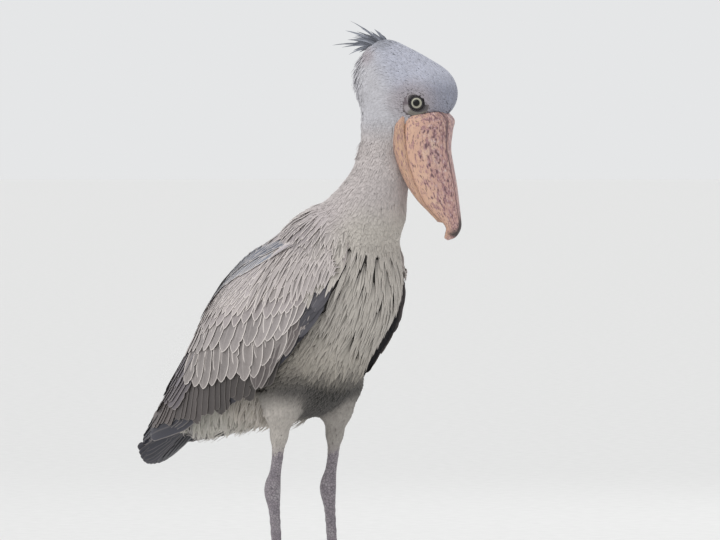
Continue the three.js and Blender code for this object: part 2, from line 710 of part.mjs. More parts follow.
// Torso and neck
const wingClearance = union(Object.values(sides).map((side) => wingCore(side, 1, 1, 9)));
const thighClearance = union(Object.values(legs).map((leg) => thighForm(leg, gap)));
const plumes = union(breastPlumes()).subtract(wingClearance).subtract(thighClearance);
addNode('torso', skinned(bodyLength(0, neckCut, 15, 22, 0)).add(plumes), 'neckGrey');
const neckForm = (margin) => skinned(bodyLength(neckCut + 0.0007, 1, 8, 22, margin));
addNode('neck', neckForm(0).trimByPlane([0, 0, -1], -neckCutZ), 'neckGrey');

// Head with lids and sockets
let head = headFlesh(0);
for (const side of Object.values(sides)) {
  head = head.add(lidRing(side)).subtract(ball(eyeCentre(side), eyeRadius + gap, 12, 7));
}
addNode('head', union([head, ...crestFeathers.map(crestFeather)]), 'headGrey');
for (const [name, side] of Object.entries(sides)) {
  addNode(`eye_${name}`, ball(eyeCentre(side), eyeRadius, 12, 7), 'eyePale');
}

// Bill
const neckGrown = neckForm(gap);
const besideBill = union([headGrown, neckGrown, ...Object.values(sides).map((side) => lidClearance(side))]);
const upperRings = [...billStations, ...nailStations].map(upperBillRing);
const nostrils = union(Object.values(sides).map(nostril));
addNode('bill_upper', skinned(upperRings).subtract(besideBill).subtract(nostrils), 'billHorn');
const lowerRings = billStations.map(lowerBillRing);
addNode('bill_lower', skinned(lowerRings).subtract(besideBill), 'billHorn');

// Wings, tail, legs
for (const [name, side] of Object.entries(sides)) {
  const leg = legs[name];
  const wing = union([wingCore(side, 0.82, 0.86, 0), ...wingVanes(side)]).subtract(torsoGrown)
    .trimByPlane([0, side, 0], gap / 2);
  addNode(`wing_${name}`, wing, 'wingGrey');
  addNode(`thigh_${name}`, thighForm(leg, 0).subtract(torsoGrown).subtract(wingClearance), 'neckGrey');
  addNode(`shank_${name}`, shankForm(leg).subtract(footHub(leg, gap)), 'legGrey');
  addNode(`foot_${name}`, footHub(leg, 0), 'legGrey');
  for (const toe of toes) {
    addNode(`toe_${toe.name}_${name}`, partedToe(leg, toe), 'legGrey');
    addNode(`claw_${toe.name}_${name}`, clawForm(leg, toe), 'clawDark');
  }
}
addNode('tail', tailForm().subtract(torsoGrown), 'tailDark');

// The origin is on the floor under the middle of the whole bird
const group = new THREE.Group();
group.add(bird);
const bounds = new THREE.Box3().setFromObject(bird);
const middle = bounds.getCenter(vec());
bird.position.set(-middle.x, -middle.y, -bounds.min.z);

export default group;
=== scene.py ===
import math

import bpy
import numpy as np
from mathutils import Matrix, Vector
from mathutils.bvhtree import BVHTree


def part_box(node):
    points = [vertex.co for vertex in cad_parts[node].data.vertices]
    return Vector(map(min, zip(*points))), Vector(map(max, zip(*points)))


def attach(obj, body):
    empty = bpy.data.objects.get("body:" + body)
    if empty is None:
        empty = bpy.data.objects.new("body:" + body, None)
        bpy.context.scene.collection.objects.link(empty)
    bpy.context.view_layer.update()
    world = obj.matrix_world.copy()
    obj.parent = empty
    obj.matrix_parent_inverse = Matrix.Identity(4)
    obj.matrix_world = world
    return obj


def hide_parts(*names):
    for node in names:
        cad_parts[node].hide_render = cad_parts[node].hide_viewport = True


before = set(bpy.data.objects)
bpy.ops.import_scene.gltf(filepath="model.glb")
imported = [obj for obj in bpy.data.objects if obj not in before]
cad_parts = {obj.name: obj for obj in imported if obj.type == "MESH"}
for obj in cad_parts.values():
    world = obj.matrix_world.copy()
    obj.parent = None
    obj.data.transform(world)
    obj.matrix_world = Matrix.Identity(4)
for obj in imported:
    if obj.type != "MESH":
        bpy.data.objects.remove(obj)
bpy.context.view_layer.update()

METRE = 1000
GAP = 0.35
HEAD_TURN = math.radians(20)
NECK_X = 195
LEG_SPREAD = 60
IRIS_WIDTH = 20
PUPIL_WIDTH = 11.4
EYE_RADIUS = 13
BILL_HALF_WIDTH = 49
SHANK_RADIUS = 9.5
KNEE_Z = 300
ANKLE_Z = 236
MIDDLE_TOE = 172
TOE_RADIUS = 8.5
EYE_FORWARD, EYE_HEIGHT = 80, 929
EYE_AIM_FORWARD, EYE_AIM_UP, EYE_BULGE = 0.18, 0.02, 1.5
EYE_PIT_DEPTH, EYE_PIT_RADIUS, EYE_PIT_EDGE = 7, 22, 7
SKIN_GRID, LEG_GRID = 3.0, 2.0
SIDES = {"right": -1, "left": 1}
UP = np.array([0.0, 0.0, 1.0])


def vec(*values):
    return np.array(values, float)


def unit(v):
    return v / np.maximum(np.linalg.norm(v, axis=-1, keepdims=True), 1e-9)


def dot(a, b):
    return (a * b).sum(-1, keepdims=True)


def mix(a, b, t):
    return a + (b - a) * t


def together(a, b):
    """Two arrays of numbers, spread out to one shape."""
    return np.broadcast_arrays(np.asarray(a, float), np.asarray(b, float))


def turns(count):
    """Angles spaced evenly round a full turn, in radians."""
    return np.arange(count) * 2 * math.pi / count


def smooth(t):
    t = np.clip(t, 0, 1)
    return t * t * (3 - 2 * t)


def up_from(value, start, run):
    """Zero before start, then smoothly up to one over a run."""
    return smooth((value - start) / run)


def down_to(value, end, run):
    """Smoothly down from one, over a run, to zero at the end."""
    return smooth((end - value) / run)


def between(value, low, high, soft):
    """One inside a range and zero outside it, with soft ends."""
    return up_from(value, low, soft) * down_to(value, high, soft)


def along(stations, t):
    """A value or point read off a list of stations by a smooth curve, with t from 0 to 1."""
    stations = np.asarray(stations, float)
    t = np.asarray(t, float)
    last = len(stations) - 1
    place = np.clip(t, 0, 1) * last
    i = np.minimum(place.astype(int), last - 1)
    f = place - i
    before_step = np.where(i > 0, 2.0, 1.0)
    after_step = np.where(i + 2 <= last, 2.0, 1.0)
    if stations.ndim > 1:
        f, before_step, after_step = f[..., None], before_step[..., None], after_step[..., None]
    here, there = stations[i], stations[i + 1]
    slope0 = (there - stations[np.maximum(i - 1, 0)]) / before_step
    slope1 = (stations[np.minimum(i + 2, last)] - here) / after_step
    rise = there - here
    return here + f * (slope0 + f * (3 * rise - 2 * slope0 - slope1 + f * (slope0 + slope1 - 2 * rise)))


# Flesh: ellipsoids of centre, radii and pitch in degrees, and tapering links, blended into one form
FLESH_MASSES = [
    ((-22, 0, 520), (225, 100, 106), 40, 1),
    ((-62, 0, 562), (200, 72, 84), 42, 50),
    ((88, 0, 600), (105, 96, 118), 52, 60),
    ((14, 0, 464), (130, 86, 94), 30, 50),
    ((-165, 0, 425), (128, 58, 54), 40, 50),
]
HEAD_MASSES = [
    ((73, 0, 950), (65, 48.5, 55), -12, 30),
    ((6, 0, 968), (56, 46, 74), 0, 35),
    ((38, 0, 905), (50, 48, 52), 0, 35),
    ((48, 0, 990), (40, 30, 26), -24, 26),
]
NECK_LINKS = [
    ((106, 0, 668), (164, 0, 742), 82, 55, 70),
    ((164, 0, 742), (190, 0, 802), 56, 41, 40),
    ((192, 0, 800), (195, 0, 880), 41, 37, 30),
]
LEGS = {
    "right": {"side": -1, "hip": 0, "ankle": -14, "foot": 6},
    "left": {"side": 1, "hip": 29, "ankle": 15, "foot": 34},
}
HEAD_FORWARD = vec(math.cos(HEAD_TURN), math.sin(HEAD_TURN), 0)
HEAD_LEFT = vec(-math.sin(HEAD_TURN), math.cos(HEAD_TURN), 0)
NECK_TOP = vec(NECK_X, 0, 0)


def head_point(h, y, z):
    """A point in the head's own frame: forward h, left y and height z."""
    h, y, z = np.broadcast_arrays(np.asarray(h, float), y, z)
    return NECK_TOP + h[..., None] * HEAD_FORWARD + y[..., None] * HEAD_LEFT + z[..., None] * UP


def in_head(p):
    """The forward, left and height of points in the head's own frame."""
    q = p - NECK_TOP
    return np.stack([q @ HEAD_FORWARD, q @ HEAD_LEFT, q[..., 2]], -1)


def ellipsoid_depth(p, centre, radii, pitch):
    turn = math.radians(pitch)
    q = p - vec(*centre)
    x = q[..., 0] * math.cos(turn) + q[..., 2] * math.sin(turn)
    z = q[..., 2] * math.cos(turn) - q[..., 0] * math.sin(turn)
    local = np.stack([x, q[..., 1], z], -1) / vec(*radii)
    near = np.linalg.norm(local, axis=-1) + 1e-9
    return near * (near - 1) / (np.linalg.norm(local / vec(*radii), axis=-1) + 1e-9)


def link_depth(p, start, end, start_radius, end_radius):
    start = vec(*start)
    line = vec(*end) - start
    offset = p - start
    t = np.clip(offset @ line / (line @ line), 0, 1)
    return np.linalg.norm(offset - t[..., None] * line, axis=-1) - mix(start_radius, end_radius, t)


def blended(a, b, width):
    h = np.maximum(width - np.abs(a - b), 0) / width
    return np.minimum(a, b) - h * h * width / 4


def thigh_line(leg):
    """Points and radii down the middle of a thigh."""
    y = leg["side"] * LEG_SPREAD
    hip = leg["hip"]
    return [
        (hip + 14, y * 0.86, 484, 46), (hip + 12, y * 0.94, 425, 42), (hip + 6, y, 378, 27),
        (hip + 2, y, 334, 13), (hip - 3, y, KNEE_Z - 14, SHANK_RADIUS - 0.4),
    ]


def trunk_depth(p):
    """Signed distance to the body, neck and head, below zero inside."""
    depth = np.full(p.shape[:-1], 1e6)
    for centre, radii, pitch, blend in FLESH_MASSES:
        depth = blended(depth, ellipsoid_depth(p, centre, radii, pitch), blend)
    for start, end, start_radius, end_radius, blend in NECK_LINKS:
        depth = blended(depth, link_depth(p, start, end, start_radius, end_radius), blend)
    head = np.full(p.shape[:-1], 1e6)
    for centre, radii, pitch, blend in HEAD_MASSES:
        head = blended(head, ellipsoid_depth(in_head(p), centre, radii, pitch), blend)
    return blended(depth, head, 30)


def thigh_depth(p):
    depth = np.full(p.shape[:-1], 1e6)
    for leg in LEGS.values():
        line = thigh_line(leg)
        thigh = np.full(p.shape[:-1], 1e6)
        for a, b in zip(line, line[1:]):
            thigh = blended(thigh, link_depth(p, a[:3], b[:3], a[3], b[3]), 14)
        depth = np.minimum(depth, thigh)
    return depth


def flesh_depth(p):
    """Signed distance to the whole skin with the thighs blended in."""
    return blended(trunk_depth(p), thigh_depth(p), 24)


def slope_of(field, p):
    """Outward direction of a field at points."""
    step = 1.0
    parts = [field(p + step * axis) - field(p - step * axis) for axis in np.eye(3)]
    return unit(np.stack(parts, -1))


def settled(field, p, depth, rounds=3):
    """Points moved along the field's slope until the field has the given depth there."""
    for _ in range(rounds):
        p = p - (field(p) - depth)[..., None] * slope_of(field, p)
    return p


def reach(field, origins, directions, margin):
    """Distance from inside the flesh out to its surface, raised by a margin."""
    low = np.zeros(origins.shape[:-1])
    high = np.full(origins.shape[:-1], 320.0)
    found = np.zeros(origins.shape[:-1], bool)
    stride = 10.0
    for k in range(1, 33):
        out = field(origins + directions * (k * stride)) >= margin
        fresh = out & ~found
        high[fresh] = k * stride
        low[fresh] = (k - 1) * stride
        found |= out
        if found.all():
            break
    for _ in range(12):
        middle = (low + high) / 2
        inside = field(origins + directions * middle[..., None]) < margin
        low = np.where(inside, middle, low)
        high = np.where(inside, high, middle)
    return low


SPINE = [
    (-246, 0, 368), (-176, 0, 420), (-100, 0, 470), (-22, 0, 524), (50, 0, 582), (108, 0, 640),
    (150, 0, 700), (177, 0, 756), (190, 0, 812), (195, 0, 860), (196, 0, 910),
]


def body_point(s, angle, margin=0.0):
    """Point of the body's skin at s along the spine, with angle 0 on the back and 90 on its left."""
    s, angle = together(s, angle)
    origin = along(SPINE, s)
    tangent = unit(along(SPINE, s + 0.01) - along(SPINE, s - 0.01))
    back = np.stack([-tangent[..., 2], 0 * s, tangent[..., 0]], -1)
    turn = np.radians(angle)[..., None]
    direction = back * np.cos(turn) + vec(0, 1, 0) * np.sin(turn)
    return origin + direction * reach(trunk_depth, origin, direction, margin)[..., None]


# Folded wing as a curved sheet: u runs from the wrist to the tip, v from the back edge to the lower edge
WING_TOP = [
    (120, 54, 702), (46, 61, 690), (-40, 61, 660), (-102, 56, 620), (-155, 49, 568),
    (-202, 40, 510), (-252, 29, 450), (-300, 17, 390), (-342, 10, 346),
]
WING_BOTTOM = [
    (166, 92, 606), (112, 114, 515), (20, 116, 424), (-55, 110, 396), (-118, 98, 370),
    (-180, 87, 356), (-236, 75, 350), (-288, 62, 338), (-328, 50, 320),
]
WING_BULGE = [8, 34, 46, 46, 38, 28, 18, 10, 5]
WING_DEPTH = [22, 70, 92, 90, 74, 52, 32, 18, 8]
LEFT_WING_DROOP = 26
WING_END_RUN, WING_END_DRAW_IN = 320, 60


def wing_point(u, v, side, rise=0.0):
    """Point of a folded wing's sheet, run on straight past its ends and raised above it."""
    u, v = together(u, v)
    droop = vec(LEFT_WING_DROOP if side > 0 else 0, 0, 0)
    arc = np.sin(np.pi * np.clip(u, 0, 1))[..., None]
    past = np.maximum(u - 1, 0)[..., None] + np.minimum(u, 0)[..., None]
    beyond = -WING_END_RUN * past * vec(1, 0, 1) - WING_END_DRAW_IN * np.abs(past) * vec(0, 1, 0)
    top = along(WING_TOP, u) + beyond
    bottom = along(WING_BOTTOM, u) + arc * droop + beyond
    ahead, behind = np.minimum(u + 0.02, 1), np.maximum(u - 0.02, 0)
    run = sum(along(edge, ahead) - along(edge, behind) for edge in (WING_TOP, WING_BOTTOM))
    out = unit(np.cross(bottom - top, run))
    arch = np.sin(np.pi * np.clip(v, 0, 1)) ** 0.85
    lift = along(WING_BULGE, u) * arch + rise
    p = top + (bottom - top) * v[..., None] + out * lift[..., None]
    return p * vec(1, side, 1)


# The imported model's origin is found from the ball of the right foot
FOOT_LOW, FOOT_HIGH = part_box("foot_right")
FOOT_MIDDLE = (np.array(FOOT_LOW) + np.array(FOOT_HIGH)) / 2 * METRE
SHIFT = vec(FOOT_MIDDLE[0] - LEGS["right"]["foot"], FOOT_MIDDLE[1] + LEG_SPREAD, 0)


def to_metres(p):
    return (np.asarray(p, float) + SHIFT) / METRE


def outward(points, faces):
    """Arrays of faces, turned over where needed so that the closed form has its outside out."""
    blocks = [np.asarray(block, np.int32) for block in faces if len(block)]
    volume = 0.0
    for block in blocks:
        for k in range(1, block.shape[1] - 1):
            volume += (points[block[:, 0]] * np.cross(points[block[:, k]], points[block[:, k + 1]])).sum()
    return blocks if volume > 0 else [block[:, ::-1] for block in blocks]


def add_piece(name, points, faces, material, replaces=(), uvs=None, values=None, colours=None):
    """A mesh piece that rides on the body. Faces are lists of arrays, each with one count of corners."""
    mesh = bpy.data.meshes.new(name)
    blocks = outward(points, faces)
    corners = np.concatenate([block.ravel() for block in blocks])
    sizes = np.concatenate([np.full(len(block), block.shape[1], np.int32) for block in blocks])
    mesh.vertices.add(len(points))
    mesh.vertices.foreach_set("co", to_metres(points).astype(np.float32).ravel())
    mesh.loops.add(len(corners))
    mesh.loops.foreach_set("vertex_index", corners)
    mesh.polygons.add(len(sizes))
    mesh.polygons.foreach_set("loop_start", np.concatenate([[0], np.cumsum(sizes)[:-1]]).astype(np.int32))
    mesh.polygons.foreach_set("use_smooth", np.ones(len(sizes), bool))
    mesh.update(calc_edges=True)
    mesh.validate()
    for uv_name, uv in (uvs or {}).items():
        layer = mesh.uv_layers.new(name=uv_name)
        layer.uv.foreach_set("vector", uv[corners].astype(np.float32).ravel())
    for value_name, value in (values or {}).items():
        layer = mesh.attributes.new(value_name, "FLOAT", "POINT")
        layer.data.foreach_set("value", np.asarray(value, np.float32))
    if colours is not None:
        layer = mesh.color_attributes.new("plumage", "FLOAT_COLOR", "POINT")
        shade = np.concatenate([colours, np.ones((len(colours), 1))], 1)
        layer.data.foreach_set("color", shade.astype(np.float32).ravel())
    piece = bpy.data.objects.new(name, mesh)
    bpy.context.scene.collection.objects.link(piece)
    mesh.materials.append(material)
    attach(piece, "root")
    if replaces:
        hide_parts(*replaces)
    return piece


def grid_faces(rows, columns, wrap):
    """Quads over a grid of rows by columns of points, joined round its columns where it wraps."""
    r, c = np.meshgrid(np.arange(rows - 1), np.arange(columns if wrap else columns - 1), indexing="ij")
    a = r * columns + c
    b = r * columns + (c + 1) % columns
    return np.stack([a, b, b + columns, a + columns], -1).reshape(-1, 4)


def tube_faces(rows, columns):
    """Quads round a closed tube and triangles over its two ends, which need a point each at the end."""
    first, last = rows * columns, rows * columns + 1
    ring = np.arange(columns)
    step = (ring + 1) % columns
    base = (rows - 1) * columns
    low = np.stack([step, ring, np.full(columns, first)], -1)
    high = np.stack([base + ring, base + step, np.full(columns, last)], -1)
    return [grid_faces(rows, columns, True), np.concatenate([low, high])]


def tube_points(rings):
    """Points of a closed tube from rings, with the middle of each end ring added."""
    return np.concatenate([rings.reshape(-1, 3), rings[0].mean(0)[None], rings[-1].mean(0)[None]])


def surface_of(field, low, high, step):
    """Closed quad mesh of a field's zero surface: one point in each cell that it crosses, then settled."""
    block = 4
    counts = np.ceil((vec(*high) - vec(*low)) / (step * block)).astype(int)
    axes = [low[k] + (np.arange(counts[k]) + 0.5) * step * block for k in range(3)]
    centres = np.stack(np.meshgrid(*axes, indexing="ij"), -1)
    coarse = field(centres.reshape(-1, 3)).reshape(counts)
    grid = coarse.astype(np.float32)
    for axis in range(3):
        grid = np.repeat(grid, block, axis)
    near = np.argwhere(np.abs(coarse) < step * block * 1.6)
    offset = np.stack(np.meshgrid(*[np.arange(block)] * 3, indexing="ij"), -1).reshape(-1, 3)
    nodes = (near[:, None] * block + offset).reshape(-1, 3)
    for part in np.array_split(nodes, max(1, len(nodes) // 400000)):
        grid[tuple(part.T)] = field(vec(*low) + (part + 0.5) * step)
    inside = grid < 0
    corners = [inside[x:inside.shape[0] - 1 + x, y:inside.shape[1] - 1 + y, z:inside.shape[2] - 1 + z]
               for x in (0, 1) for y in (0, 1) for z in (0, 1)]
    total = sum(c.astype(np.int8) for c in corners)
    cells = np.argwhere((total > 0) & (total < 8))
    number = np.full(total.shape, -1, np.int64)
    number[tuple(cells.T)] = np.arange(len(cells))
    points = vec(*low) + (cells + 1.0) * step
    quads = []
    for axis in range(3):
        one, two = [a for a in range(3) if a != axis]
        here = np.moveaxis(inside, axis, 0)
        change = np.argwhere(here[:-1] != here[1:])
        edges = np.empty_like(change)
        order = [axis] + [a for a in range(3) if a != axis]
        for k, a in enumerate(order):
            edges[:, a] = change[:, k]
        ok = (edges[:, one] > 0) & (edges[:, two] > 0)
        ok &= (edges[:, one] < total.shape[one]) & (edges[:, two] < total.shape[two])
        edges = edges[ok]
        flip = inside[tuple(edges.T)] ^ (axis == 1)
        quad = []
        for d_one, d_two in ((1, 1), (0, 1), (0, 0), (1, 0)):
            cell = edges.copy()
            cell[:, one] -= d_one
            cell[:, two] -= d_two
            quad.append(number[tuple(cell.T)])
        quad = np.stack(quad, -1)
        quads.append(np.where(flip[:, None], quad, quad[:, ::-1]))
    return settled(field, points, 0.0), np.concatenate(quads)


# Shader expressions
class Value:
    """A socket that carries a number, with the sums of the shader's Math nodes."""

    def __init__(self, finish, socket):
        self.finish = finish
        self.socket = socket

    def math(self, operation, *others):
        inputs = {0: self}
        inputs.update({k + 1: other for k, other in enumerate(others)})
        return self.finish.add("ShaderNodeMath", {"operation": operation}, inputs)

    def __add__(self, other):
        return self.math("ADD", other)

    def __sub__(self, other):
        return self.math("SUBTRACT", other)

    def __rsub__(self, other):
        return (self * -1) + other

    def __mul__(self, other):
        return self.math("MULTIPLY", other)

    def __pow__(self, other):
        return self.math("POWER", other)

    __radd__ = __add__
    __rmul__ = __mul__

    def size(self):
        return self.math("ABSOLUTE")

    def step(self, low, high):
        """Zero below low and one above high, with a smooth change between them."""
        settings = {"interpolation_type": "SMOOTHSTEP"}
        ends = {"Value": self, "From Min": low, "From Max": high}
        return self.finish.add("ShaderNodeMapRange", settings, ends, "Result")


class Finish:
    """A procedural material, and the one way that nodes are added to it."""

    def __init__(self, name, **constants):
        self.material = bpy.data.materials.new(name)
        self.material.use_nodes = True
        self.tree = self.material.node_tree
        self.shader = self.tree.nodes["Principled BSDF"]
        for socket, value in constants.items():
            self.shader.inputs[socket.replace("_", " ")].default_value = value

    def add(self, kind, settings=None, inputs=None, output=0):
        node = self.tree.nodes.new(kind)
        for name, value in (settings or {}).items():
            if name == "stops":
                ramp = node.color_ramp
                while len(ramp.elements) < len(value):
                    ramp.elements.new(0.5)
                for element, (place, colour) in zip(ramp.elements, value):
                    element.position = place
                    element.color = (*colour, 1)
            else:
                setattr(node, name, value)
        for key, value in (inputs or {}).items():
            if isinstance(value, Value):
                self.tree.links.new(value.socket, node.inputs[key])
            else:
                node.inputs[key].default_value = value
        return Value(self, node.outputs[output])

    def feed(self, socket, value):
        self.tree.links.new(value.socket, self.shader.inputs[socket])

    def attribute(self, name, output="Fac"):
        return self.add("ShaderNodeAttribute", {"attribute_name": name}, {}, output)

    def place(self):
        """The piece's own coordinates in metres."""
        return self.add("ShaderNodeTexCoord", {}, {}, "Object")

    def map_parts(self, name):
        """The two coordinates of one of the piece's maps, as numbers."""
        map_node = self.add("ShaderNodeUVMap", {"uv_map": name}, {}, "UV")
        return [self.add("ShaderNodeSeparateXYZ", {}, {0: map_node}, axis) for axis in ("X", "Y")]

    def joined(self, x, y, z=0.0):
        return self.add("ShaderNodeCombineXYZ", {}, {"X": x, "Y": y, "Z": z})

    def noise(self, vector, scale, detail=3.0, roughness=0.5):
        inputs = {"Vector": vector, "Scale": scale, "Detail": detail, "Roughness": roughness}
        return self.add("ShaderNodeTexNoise", {}, inputs, "Fac")

    def cell_edges(self, vector, scale):
        """Distance to the nearest edge between cells."""
        inputs = {"Vector": vector, "Scale": scale}
        return self.add("ShaderNodeTexVoronoi", {"feature": "DISTANCE_TO_EDGE"}, inputs, "Distance")

    def ramp(self, value, stops):
        return self.add("ShaderNodeValToRGB", {"stops": stops}, {0: value}, "Color")

    def mixed(self, amount, first, second, blend="MIX"):
        """Two colours mixed. A colour is a link or three numbers."""
        settings = {"data_type": "RGBA", "blend_type": blend}
        pair = [c if isinstance(c, Value) else (*c, 1) for c in (first, second)]
        return self.add("ShaderNodeMix", settings, {0: amount, 6: pair[0], 7: pair[1]}, 2)

    def shaded(self, colour, shade):
        """A colour made lighter or darker by a number."""
        return self.mixed(1.0, colour, self.joined(shade, shade, shade), "MULTIPLY")

    def done(self, colour, height, strength, distance):
        """The material, with its colour and its relief fed to the shader."""
        self.feed("Base Color", colour)
        inputs = {"Height": height, "Strength": strength, "Distance": distance}
        self.feed("Normal", self.add("ShaderNodeBump", {}, inputs))
        return self.material


def srgb(code):
    """Linear colour of a six-figure code."""
    parts = [int(code[k:k + 2], 16) / 255 for k in (0, 2, 4)]
    return vec(*[p / 12.92 if p <= 0.04045 else ((p + 0.055) / 1.055) ** 2.4 for p in parts])


# Colours
HEAD_GREY = srgb("b9b9c0")
CROWN_BLUE = srgb("adb1c1")
FOREHEAD_SLATE = srgb("868b9e")
CREST_SLATE = srgb("7b808d")
# Mauve of the face round the eye, also used as painted shade behind the crest
FACE_MAUVE_AND_PAINTED_SHADE = srgb("8f868e")
NECK_GREY = srgb("beb6b5")
BREAST_GREY = srgb("bfb9b1")
BELLY_GREY = srgb("aca59a")
# Near-black grey, painted shade under the belly
BELLY_PAINTED_SHADE = srgb("1f1e1b")
BACK_BLUE = srgb("7d8492")
MANTLE_MAUVE = srgb("aea5a7")
THIGH_GREY = srgb("b5afa8")
LEG_GREY = srgb("978f95")
VENT_PALE = srgb("b4b2a8")
TAIL_DARK = srgb("2f2f3a")
RIM_PALE = srgb("e4dcd7")


# Eyes: a ball sunk behind its lids on each side
LID_DEPTH = math.sqrt(EYE_RADIUS ** 2 - (IRIS_WIDTH / 2) ** 2)


def eye_axes(side):
    """Outward, forward and upward directions of an eye."""
    out = unit(side * HEAD_LEFT + EYE_AIM_FORWARD * HEAD_FORWARD + EYE_AIM_UP * UP)
    ahead = unit(HEAD_FORWARD - out * (HEAD_FORWARD @ out))
    return out, ahead, unit(UP - out * (UP @ out) - ahead * (UP @ ahead))


def eye_centre(side):
    """The middle of an eye's ball, behind the head's surface."""
    start = head_point(EYE_FORWARD, 0, EYE_HEIGHT)
    far = reach(trunk_depth, start[None], side * HEAD_LEFT[None], 0.0)[0]
    return start + side * HEAD_LEFT * far + eye_axes(side)[0] * (EYE_BULGE - LID_DEPTH)


EYE_PLACES = [eye_centre(side) for side in SIDES.values()]


def coat_depth(p):
    """How far the skin lies inside the coat: least on the face, most on the body."""
    return mix(4.5, 0.9, up_from(p[..., 2], 760, 120)) - 2.6 * down_to(p[..., 2], 410, 60)


def skin_depth(p):
    """The skin's own field, with a pit round each eye."""
    near = np.minimum(*[np.linalg.norm(p - place, axis=-1) for place in EYE_PLACES])
    pit = EYE_PIT_DEPTH * down_to(near, EYE_PIT_RADIUS, EYE_PIT_EDGE)
    return flesh_depth(p) + coat_depth(p) + pit


def spine_place(p):
    """Place along the spine and angle round it, for points near the body."""
    s = np.linspace(-0.05, 1, 211)
    line = along(SPINE, s)
    flat = p * vec(1, 0, 1)
    nearest = np.empty(len(p), int)
    for part in np.array_split(np.arange(len(p)), max(1, len(p) // 20000)):
        nearest[part] = ((flat[part, None] - line) ** 2).sum(-1).argmin(1)
    near = s[nearest]
    tangent = unit(along(SPINE, near + 0.01) - along(SPINE, near - 0.01))
    back = np.stack([-tangent[:, 2], 0 * near, tangent[:, 0]], -1)
    offset = p - line[nearest]
    return near, np.degrees(np.arctan2(p[:, 1], (offset * back).sum(-1)))


def coat_colour(p):
    """Colour of the plumage at points of the body, blended from the named greys."""
    s, angle = spine_place(p)
    around, height = np.abs(angle), p[:, 2]
    h, _, z = in_head(p).T
    # Painted shade: the belly's underside, low down and ahead of the vent, is mixed towards a near-black
    # grey.
    under = up_from(around, 112, 34) * down_to(height, 480, 66) * up_from(s, 0.17, 0.09)
    # The lower breast shades into the belly's grey: partly the belly's own colour and partly painted shade,
    # as less light reaches low down.
    belly = mix(BELLY_GREY, BREAST_GREY, up_from(s, 0.3, 0.2)[:, None])
    belly = mix(belly, BELLY_PAINTED_SHADE, under[:, None])
    face = down_to(np.hypot((h - 70) / 1.25, z - 934), 50, 34)
    # Painted shade in the hollow behind the crest
    painted_crest_shade = down_to(np.hypot(h + 22, z - 1012), 24, 18)
    thigh = down_to(thigh_depth(p), 12, 14) * down_to(height, 420, 40)
    layers = [
        (MANTLE_MAUVE, up_from(s, 0.36, 0.12)),
        (belly, up_from(around, 55, 60)),
        (VENT_PALE, down_to(s, 0.16, 0.1) * up_from(around, 95, 30)),
        (NECK_GREY, up_from(height, 700, 70)),
        (HEAD_GREY, up_from(height, 850, 60)),
        (CROWN_BLUE, up_from(h + 0.6 * (z - 950), 5, 60) * up_from(z, 930, 30)),
        (FOREHEAD_SLATE, up_from(h, 76, 38) * down_to(z, 985, 40) * up_from(z, 895, 15)),
        (FACE_MAUVE_AND_PAINTED_SHADE, np.maximum(face * 0.72, painted_crest_shade * 0.75)),
        # Painted shade: the left thigh's grey is darkened by up to about a quarter.
        (THIGH_GREY * mix(1, 0.72, smooth((p[:, 1] + 20) / 40))[:, None], thigh),
        (CREST_SLATE, down_to(np.hypot(h - 2, (z - 1038) * 1.6), 34, 24) * 0.8),
        (LEG_GREY, thigh * down_to(height, 326, 40) * 0.7),
    ]
    colour = BACK_BLUE
    for tone, share in layers:
        colour = mix(colour, tone, share[:, None])
    return colour


def skin_finish():
    finish = Finish("down_skin", Roughness=0.95)
    base = finish.attribute("plumage", "Color")
    mottle = finish.noise(finish.place(), 240, 4)
    tone = finish.mixed(mottle.step(0.35, 0.7) * 0.18, base, (0.08, 0.075, 0.07))
    return finish.done(tone, mottle, 0.5, 0.002)


SKIN = surface_of(skin_depth, (-275, -135, KNEE_Z - 30), (345, 135, 1060), SKIN_GRID)
SKIN_FINISH = skin_finish()
FLESH_NODES = ["torso", "neck", "head", "thigh_right", "thigh_left"]
PLACE, TURN = spine_place(SKIN[0])
# Painted shade: the skin is a little darker than the coat over it, and far darker under the breast's plumes,
# where it shows as the shade in the gaps between them.
PLUME_SHADE_ZONE = between(PLACE, 0.35, 0.66, 0.05) * up_from(np.abs(TURN), 20, 20)
add_piece("skin", SKIN[0], [SKIN[1]], SKIN_FINISH, FLESH_NODES,
          colours=coat_colour(SKIN[0]) * mix(0.9, 0.14, PLUME_SHADE_ZONE)[:, None])


# Bill, as stations down its length: culmen, mouth line and underside as forward and height in the
# head's frame, then the share of the full width, the ridge's half width and the ridge's rise
BILL_STATIONS = [
    ((117, 914), (58, 905), (45, 908), 0.9, 26, 6),
    ((130, 899), (57, 894), (31, 892), 0.98, 23, 9),
    ((128, 880), (57, 876), (25, 874), 1, 18, 8),
    ((126, 848), (60, 846), (25, 846), 0.98, 13, 6),
    ((132, 814), (66, 814), (34, 816), 0.93, 11, 5),
    ((138, 782), (76, 784), (48, 786), 0.86, 10, 4),
    ((142, 752), (88, 755), (68, 758), 0.74, 9, 3.5),
    ((145, 728), (104, 733), (88, 737), 0.56, 8, 3),
    ((146, 711), (118, 717), (104, 719), 0.38, 7, 2),
    ((142, 699), (122, 707), (108, 711), 0.25, 5, 1),
    ((134, 690), (119, 698), (110, 704), 0.16, 3.5, 0.6),
    ((122, 686), (116, 690), (112, 696), 0.07, 2, 0.2),
]
BILL_RINGS = 150
BILL_ROUND, BILL_LENGTH = 190, 255
BILL_HALF_COLUMNS = 30
LOWER_BILL_END = 8 / 11


